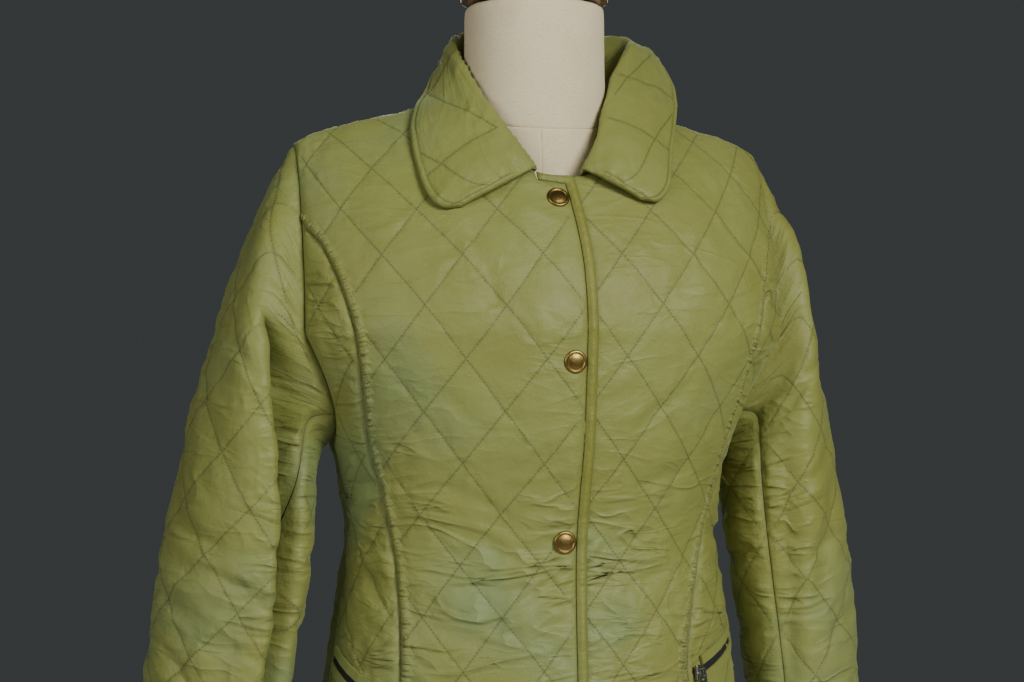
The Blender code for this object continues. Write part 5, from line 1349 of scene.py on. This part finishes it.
def collarPanel():
    half, tall = collarTable["half"], collarTable["tall"]
    outline = joinedRing(
        [(half, 0.0), (0.0, 0.0), (-half, 0.0)], [(-half, 0.0), (-half, tall)],
        [(-half, tall), (0.0, tall), (half, tall)], [(half, tall), (half, 0.0)],
    )
    shares = np.linspace(-1, 1, 61) * 0.999
    rims = rimLine([(half * s, 0.0) for s in shares], [collar.rim(half * s) for s in shares])
    neckLine = thickened([(-half, 0.0), (half, 0.0)])
    border = [(-half, 0.050), (-half, tall), (half, tall), (half, 0.050)]
    edge, topStitch = thickened(border), ringInset(thickened(border, 0.003), -collarEdge["line"])
    topStitch = topStitch[insideOf(topStitch, outline)]

    def raised(points):
        away, _ = nearLine(points, edge)
        roll = collarEdge["roll"] * np.exp(-((away - collarEdge["rollAt"]) / collarEdge["rollWide"]) ** 2)
        return roll - collarEdge["dip"] * np.exp(-((away - collarEdge["line"]) / collarEdge["dipWide"]) ** 2)

    lines = [thickened(line, 0.002) for line in collarLines]
    for start in collarQuilt["starts"]:
        end = start + quilt["wide"]
        for low, high in ((start, end), (end, start)):
            line = thickened([(low, collarQuilt["from"]), (high, tall - collarQuilt["to"])], 0.002)
            line = line[(line[:, 0] > collarQuilt["ends"][0]) & (line[:, 0] < collarQuilt["ends"][1])]
            lines += [line] if len(line) > 2 else []
    rows = (0.0, 0.0007, -0.0007, 0.0018, -0.0018, 0.0036, -0.0036)
    spec = {
        "name": "cloth_collar", "ring": outline, "step": 0.0034, "shell": 0.0022, "wave": 0.0006,
        "flat": lambda u, v: ease(0.040, 0.060, v), "creased": lambda u, v: np.full(len(u), 0.12),
        "raise": raised, "quiltLines": lines, "sewnLines": [topStitch],
        "denseLines": [(line, rows) for line in lines + [topStitch]],
        "puckers": [(neckLine, "neck", 53), (edge, "collar", 59)],
    }

    def surface(u, v):  # the leaf folds over, so the outer face is the one that the stand turns to the neck
        normal = -blendRims(u, v, collar.normal(u, v), [rims])
        return collar.point(u, v) + normal * reliefOf(spec, u, v)[:, None], normal

    return dict(spec, surface=surface)


collarLines = (  # the sewn lines on the two leaves: distance from the centre back, way from the neck
    ((-0.146, 0.122), (-0.156, 0.101), (-0.171, 0.074), (-0.186, 0.057), (-0.200, 0.044)),
    ((-0.200, 0.044), (-0.205, 0.079), (-0.211, 0.108), (-0.214, 0.124)),
    ((-0.197, 0.124), (-0.213, 0.106), (-0.230, 0.094), (-0.247, 0.082)),
    ((-0.112, 0.060), (-0.133, 0.098), (-0.150, 0.124)),
    ((0.112, 0.102), (0.128, 0.078), (0.145, 0.053), (0.158, 0.042)),
    ((0.141, 0.044), (0.149, 0.078), (0.157, 0.124)),
    ((0.187, 0.044), (0.191, 0.069), (0.201, 0.124)),
    ((0.172, 0.122), (0.187, 0.109), (0.203, 0.100), (0.226, 0.090), (0.247, 0.082)),
)


bindingRoll = {"rise": 0.0007, "riseTo": 0.0035, "dip": 0.0005, "dipAt": 0.0016, "dipWide": 0.0006}


def bindingStrip():
    top, end = neckV(0), jacket["bindingEnd"]
    edge = [(float(lapOut(v)), v) for v in spread(jacket["hem"], top - jacket["binding"])]
    corner = [edge[-1], (float(lapOut(top)), top - 0.002), (float(lapOut(top)) - 0.002, top)]
    along = [corner[-1]] + [(x, neckV(abs(x))) for x in (0.0, -0.006, -0.012, -end)]
    short = [(-end, neckV(end)), (-end, neckV(jacket["collarStart"]) - jacket["binding"])]
    inner = frontEdge("right")
    back = [[short[-1], inner[-1]], backwards(inner)]
    outline = joinedRing([inner[0], edge[0]], edge, corner, along, short, *back)
    ring = closedRing(outline)

    def raised(points):
        away, _ = nearLine(points, ring)
        dip = bindingRoll["dip"] * np.exp(-((away - bindingRoll["dipAt"]) / bindingRoll["dipWide"]) ** 2)
        return bindingRoll["rise"] * ease(0.0, bindingRoll["riseTo"], away) - dip

    return bodySurface({
        "name": "cloth_binding", "ring": outline, "material": bindingCloth, "raise": raised, "wave": 0.0002,
        "wallMore": 0.0006, "step": 0.0022, "rows": (0.0005, 0.0012, 0.0020), "clearRows": 0.0026,
    }, "front", True)


panels = {}
for side in ("right", "left"):
    panels[f"front_{side}"] = frontPanel(side)
    panels[f"side_{side}"] = sidePanel(side)
    for part in ("upper", "under"):
        panels[f"sleeve_{part}_{side}"] = sleevePanel(side, part)
panels["back"] = backPanel()
panels["collar"] = collarPanel()
cloth = {}
for node, spec in panels.items():
    cloth[node] = buildPanel(spec)
    print(node, len(cloth[node].data.vertices), "points")
binding = buildPanel(bindingStrip())
print("binding ready")


# stitches, sewn through the cloth
def hemLine(ring):
    level = ring[:, 1].min()
    xs = ring[ring[:, 1] < level + 0.0002][:, 0]
    along = np.arange(xs.min() + 0.002, xs.max() - 0.002, 0.003)
    return np.column_stack((along, np.full(len(along), level + stitch["hemUp"])))


stitches = {}
for node, spec in panels.items():
    lines = [] if node == "collar" else [hemLine(spec["ring"])]
    lines += [*spec.get("sewnLines", ()), *spec.get("quiltLines", ())]
    runs = quiltRuns(spec) if "origin" in spec else []
    runs += [lifted(spec, line) for line in lines if len(line) > 2]
    stitches[node] = stitchMesh(spec["name"].replace("cloth", "stitches"), runs, threadShadeLook)
    print(node, "stitches", len(stitches[node].data.polygons) // len(octahedron))

for node, obj in cloth.items():
    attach(obj, mainBody)
    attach(stitches[node], mainBody)
    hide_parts(node)
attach(binding, mainBody)
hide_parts("front_binding")


# the dress form, with its turned cap, pole and base
formSize = {
    "bottom": 0.700, "neckRadius": 0.0598, "neckX": 0.0020, "neckY": -0.0060,
    "neckTop": 1.470, "neckRows": ((1.05, 1.300), (1.05, 1.345), (1.03, 1.385), (1.01, 1.410)),
    "seamZ": 1.3595, "seamTilt": 0.20, "seamHalf": 0.0012, "neckSeam": 0.0009, "middleSeam": 0.0007,
    "middleX": -0.0090, "voxel": 0.0034, "gap": 0.0003,
}


def deselectAll():
    bpy.ops.object.select_all(action="DESELECT")


def makeActive(obj, *others):
    deselectAll()
    for each in (obj, *others):
        each.select_set(True)
    bpy.context.view_layer.objects.active = obj


def finishPiece(obj, name, material, angle=40):
    makeActive(obj)
    bpy.ops.object.transform_apply(location=True, rotation=True, scale=True)
    bpy.ops.object.shade_smooth_by_angle(angle=math.radians(angle))
    obj.name = name
    obj.data.materials.clear()
    obj.data.materials.append(material)
    return obj


def applyModifier(obj, kind, **settings):
    modifier = obj.modifiers.new(kind.lower(), kind)
    for key, value in settings.items():
        setattr(modifier, key, value)
    makeActive(obj)
    bpy.ops.object.modifier_apply(modifier=modifier.name)


def turnedPiece(name, centre, profile, steps, material, levels=0, bevel=0.0):  # profile runs upwards
    deselectAll()
    radius, height = profile[0]
    place = (*centre, height)
    bpy.ops.mesh.primitive_circle_add(vertices=steps, radius=radius, fill_type="NGON", location=place)
    obj = bpy.context.object
    bpy.ops.object.mode_set(mode="EDIT")
    bpy.ops.mesh.select_all(action="SELECT")
    for wide, high in profile[1:]:
        bpy.ops.mesh.extrude_region_move(TRANSFORM_OT_translate={"value": (0, 0, high - height)})
        ratio = wide / radius
        bpy.ops.transform.resize(value=(ratio, ratio, 1), center_override=(*centre, high))
        radius, height = wide, high
    bpy.ops.mesh.select_all(action="SELECT")
    bpy.ops.mesh.normals_make_consistent(inside=False)
    bpy.ops.object.mode_set(mode="OBJECT")
    if bevel:
        applyModifier(obj, "BEVEL", width=bevel, segments=3)
    if levels:
        applyModifier(obj, "SUBSURF", levels=levels, render_levels=levels)
    return finishPiece(obj, name, material)


def linenTorso():
    work = bmesh.new()
    shares, chest = np.sin(np.radians(np.arange(-90, 91, 4))), jacket["chest"]
    for face in ("front", "back"):
        side, level = form.sideAt(face, chest) * shares, np.full(len(shares), 1.0)
        heights = spread(formSize["bottom"], chest, 0.014)
        rows = [form.point(face, form.sideAt(face, v) * shares, v * level) for v in heights]
        tops = form.topV(face, form.point(face, side, chest * level)[:, 0])
        rows += [form.point(face, side, chest + (tops - chest) * k / 16) for k in range(1, 17)]
        grid = [[work.verts.new(point) for point in row.tolist()] for row in rows]
        for low, high in zip(grid, grid[1:]):
            for k in range(len(low) - 1):
                work.faces.new((low[k], low[k + 1], high[k + 1], high[k]))
    bmesh.ops.remove_doubles(work, verts=work.verts, dist=0.0006)
    bmesh.ops.dissolve_degenerate(work, edges=work.edges, dist=0.0002)
    bmesh.ops.holes_fill(work, edges=[edge for edge in work.edges if edge.is_boundary], sides=0)
    bmesh.ops.recalc_face_normals(work, faces=work.faces)
    mesh = bpy.data.meshes.new("linen_torso")
    work.to_mesh(mesh)
    work.free()
    torso = bpy.data.objects.new("linen_torso", mesh)
    bpy.context.scene.collection.objects.link(torso)
    radius = formSize["neckRadius"]
    profile = [(radius * share, height) for share, height in formSize["neckRows"]]
    profile.append((radius, formSize["neckTop"]))
    neck = turnedPiece("linen_neck", (formSize["neckX"], formSize["neckY"]), profile, 128, linenLook)
    makeActive(torso, neck)
    bpy.ops.object.join()
    applyModifier(torso, "REMESH", mode="VOXEL", voxel_size=formSize["voxel"])
    applyModifier(torso, "SMOOTH", factor=0.5, iterations=14)
    reshape(torso.data, pressSeams)
    print("torso", len(torso.data.vertices), len(torso.data.polygons))
    return finishPiece(torso, "linen_torso", linenLook, 60)


def pressSeams(work):  # the neck's seam and the centre seam below it, pressed in along cut edges
    tilt = Vector((0, -formSize["seamTilt"], 1)).normalized()
    through = Vector((formSize["neckX"], -0.068, formSize["seamZ"]))
    for way, place in ((tilt, through), (Vector((1, 0, 0)), Vector((formSize["middleX"], 0, 1)))):
        for by in (-formSize["seamHalf"], 0.0, formSize["seamHalf"]):
            everything = work.verts[:] + work.edges[:] + work.faces[:]
            cut = place + way * by
            bmesh.ops.bisect_plane(work, geom=everything, plane_co=cut, plane_no=way, dist=0.00005)
    work.normal_update()
    for vertex in work.verts:
        off, x = (vertex.co - through).dot(tilt), vertex.co.x - formSize["middleX"]
        if abs(off) < 0.0001 and vertex.co.z > 1.33:
            vertex.co -= vertex.normal * formSize["neckSeam"]
        elif off < 0 and abs(x) < 0.0001 and vertex.co.y < 0 and vertex.co.z > 0.71:
            vertex.co -= vertex.normal * formSize["middleSeam"]


linen = {"light": (0.740, 0.635, 0.410, 1), "dark": (0.660, 0.555, 0.345, 1), "threads": (300, 2600)}
wood = {
    "dark": (0.085, 0.030, 0.012, 1), "middle": (0.210, 0.085, 0.034, 1), "light": (0.300, 0.140, 0.058, 1),
    "grain": (22.0, 3.0, 60.0),
}


def linenCover(name):
    material, tree, place = nodesOf(name)
    tone = rampOf(tree, noiseOf(tree, place, 14.0, 4.0), (0.30, linen["dark"]), (0.70, linen["light"]))
    last, threads, (long, fine) = None, [], linen["threads"]
    for scale in ((long, long, fine), (fine, fine, long)):  # flax threads along and across
        threads.append(noiseOf(tree, stretchOf(tree, place, scale), 1.0, 2.0))
        last = bumpOf(tree, threads[-1], 0.35, 0.0005, last)
    fleck = rampOf(tree, threads[0], (0.35, (0.90, 0.88, 0.84, 1)), (0.65, grey(1.05)))
    return finishLook(material, {"Base Color": mixOf(tree, 1.0, tone, fleck, "MULTIPLY"), "Normal": last,
                                 "Roughness": 0.88, "Sheen Weight": 0.15})


def turnedWood(name):
    material, tree, place = nodesOf(name)
    grain = noiseOf(tree, stretchOf(tree, place, wood["grain"]), 1.0, 6.0, 0.65)
    tone = rampOf(tree, grain, (0.25, wood["dark"]), (0.55, wood["middle"]), (0.80, wood["light"]))
    return finishLook(material, {"Base Color": tone, "Normal": bumpOf(tree, grain, 0.08, 0.0006),
                                 "Roughness": 0.28, "Coat Weight": 0.25})


linenLook, woodLook = linenCover("linen_cover"), turnedWood("turned_wood_look")
top, centre = formSize["neckTop"] + formSize["gap"], (formSize["neckX"], formSize["neckY"])
capProfile = (  # radius, height above the neck
    (0.0600, 0.0), (0.0630, 0.0030), (0.0635, 0.0070), (0.0610, 0.0120), (0.0560, 0.0155),
    (0.0460, 0.0190), (0.0300, 0.0215), (0.0200, 0.0240), (0.0130, 0.0280), (0.0112, 0.0320),
    (0.0130, 0.0350), (0.0170, 0.0375), (0.0182, 0.0430), (0.0170, 0.0475), (0.0120, 0.0505),
    (0.0050, 0.0518),
)
capProfile = [(radius, top + height) for radius, height in capProfile]
baseProfile = (
    (0.1880, 0.0), (0.1900, 0.0020), (0.1900, 0.0090), (0.1870, 0.0125), (0.1780, 0.0150), (0.1400, 0.0180),
    (0.1000, 0.0200), (0.0600, 0.0222), (0.0300, 0.0240),
)
poleProfile = ((0.0145, 0.0243), (0.0145, 0.6997))
standPieces = {
    "form_torso": linenTorso(),
    "form_neck_cap": turnedPiece("wooden_cap", centre, capProfile, 72, woodLook, levels=1),
    "form_base": turnedPiece("wooden_base", (0, 0), baseProfile, 128, woodLook),
    "form_pole": turnedPiece("steel_pole", (0, 0), poleProfile, 64, steelLook, bevel=0.0008),
}
for node, piece in standPieces.items():
    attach(piece, mainBody)
    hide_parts(node)
print("dress form ready")

# snap caps: a raised rim, a groove and a low dome
snapCap = {
    "edge": 0.0012, "bevel": 0.00018, "lift": 0.0009, "firstLift": 0.0005,
    "insets": (  # way in, way up
        (0.0007, 0.0006), (0.0011, 0.0002), (0.0007, -0.0006), (0.0004, 0.0), (0.0016, 0.00055),
        (0.0018, 0.0003), (0.0016, 0.00012),
    ),
}


def placedOn(obj, seat, normal):  # turned so that its own +Z runs along the normal, and moved to its seat
    side = unit(np.cross((0.0, 0.0, 1.0), normal))
    up = np.cross(normal, side)
    rows = [(side[k], up[k], normal[k], seat[k]) for k in range(3)]
    obj.matrix_world = Matrix(rows + [(0.0, 0.0, 0.0, 1.0)])


def brassCap(number, v):
    deselectAll()
    bpy.ops.mesh.primitive_cylinder_add(vertices=56, radius=snaps["radius"], depth=snapCap["edge"])
    obj = bpy.context.object
    bpy.ops.object.mode_set(mode="EDIT")
    bpy.ops.mesh.select_mode(type="FACE")
    work = bmesh.from_edit_mesh(obj.data)
    for face in work.faces:
        face.select = face.normal.z > 0.9
    bmesh.update_edit_mesh(obj.data)
    for thick, deep in snapCap["insets"]:
        bpy.ops.mesh.inset(thickness=thick, depth=deep)
    bpy.ops.object.mode_set(mode="OBJECT")
    applyModifier(obj, "BEVEL", width=snapCap["bevel"], segments=2, limit_method="ANGLE")
    u = snapU(v)
    normal = body.normal("front", one(u), one(v))[0]
    lift = snapCap["firstLift" if number == 1 else "lift"] + snapCap["edge"] / 2
    lift += float(lapLift(u)) + jacket["wall"]
    placedOn(obj, body.point("front", one(u), one(v))[0] + normal * lift, normal)
    return finishPiece(obj, f"brass_cap_{number}", brassLook, 35)


for number, height in enumerate(snapHeights, 1):
    cap = brassCap(number, height)
    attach(cap, mainBody)
    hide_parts(f"snap_cap_{number}")
print("snap caps ready")
keptLooks = {
    "pocket_zip": tapeLook, "zip_slider": silverLook, "zip_pull": silverLook, "pocket_welt": oliveCloth,
}
for node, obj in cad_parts.items():
    for start, look in keptLooks.items():
        if node.startswith(start):
            for slot in obj.material_slots:
                slot.material = look


# floor, light and camera
studio = {
    "floor": (0.62, 0.61, 0.59, 1), "air": (0.042, 0.047, 0.047, 1), "lens": 69.5, "turn": 15, "away": 1.7,
    "aim": (0, 0, 1.184), "aside": -0.0155,
}


def areaLight(name, place, aim, size, energy):
    data = bpy.data.lights.new(name, "AREA")
    data.shape, data.size, data.energy = "DISK", size, energy
    obj = bpy.data.objects.new(name, data)
    bpy.context.scene.collection.objects.link(obj)
    obj.location = place
    obj.rotation_euler = (Vector(aim) - Vector(place)).to_track_quat("-Z", "Y").to_euler()


bpy.ops.mesh.primitive_plane_add(size=5.0, location=(0, 0, 0))
floor = bpy.context.object
floor.name = "floor"
floor.data.materials.append(plainLook("floor_pale", studio["floor"], 0.85))
areaLight("key_light", (0.9, -2.5, 2.35), (0, 0, 1.15), 1.4, 86)
areaLight("fill_light", (-2.1, -1.7, 1.9), (0, 0, 1.1), 1.8, 29)
areaLight("rim_light", (0.6, 2.3, 2.2), (0, 0, 1.2), 1.5, 12)
world = bpy.data.worlds.new("studio")
bpy.context.scene.world = world
world.use_nodes = True
feed(world.node_tree, world.node_tree.nodes["Background"], {"Color": studio["air"], "Strength": 1.0})

cameraData = bpy.data.cameras.new("camera")
cameraData.lens, cameraData.sensor_width = studio["lens"], 36.0
camera = bpy.data.objects.new("camera", cameraData)
bpy.context.scene.collection.objects.link(camera)
turn = math.radians(studio["turn"])
right, ahead = np.array((math.cos(turn), -math.sin(turn), 0)), np.array((math.sin(turn), math.cos(turn), 0))
camera.location = tuple(right * studio["aside"] + np.array(studio["aim"]) - ahead * studio["away"])
camera.rotation_euler = (math.radians(90), 0, -turn)
bpy.context.scene.camera = camera
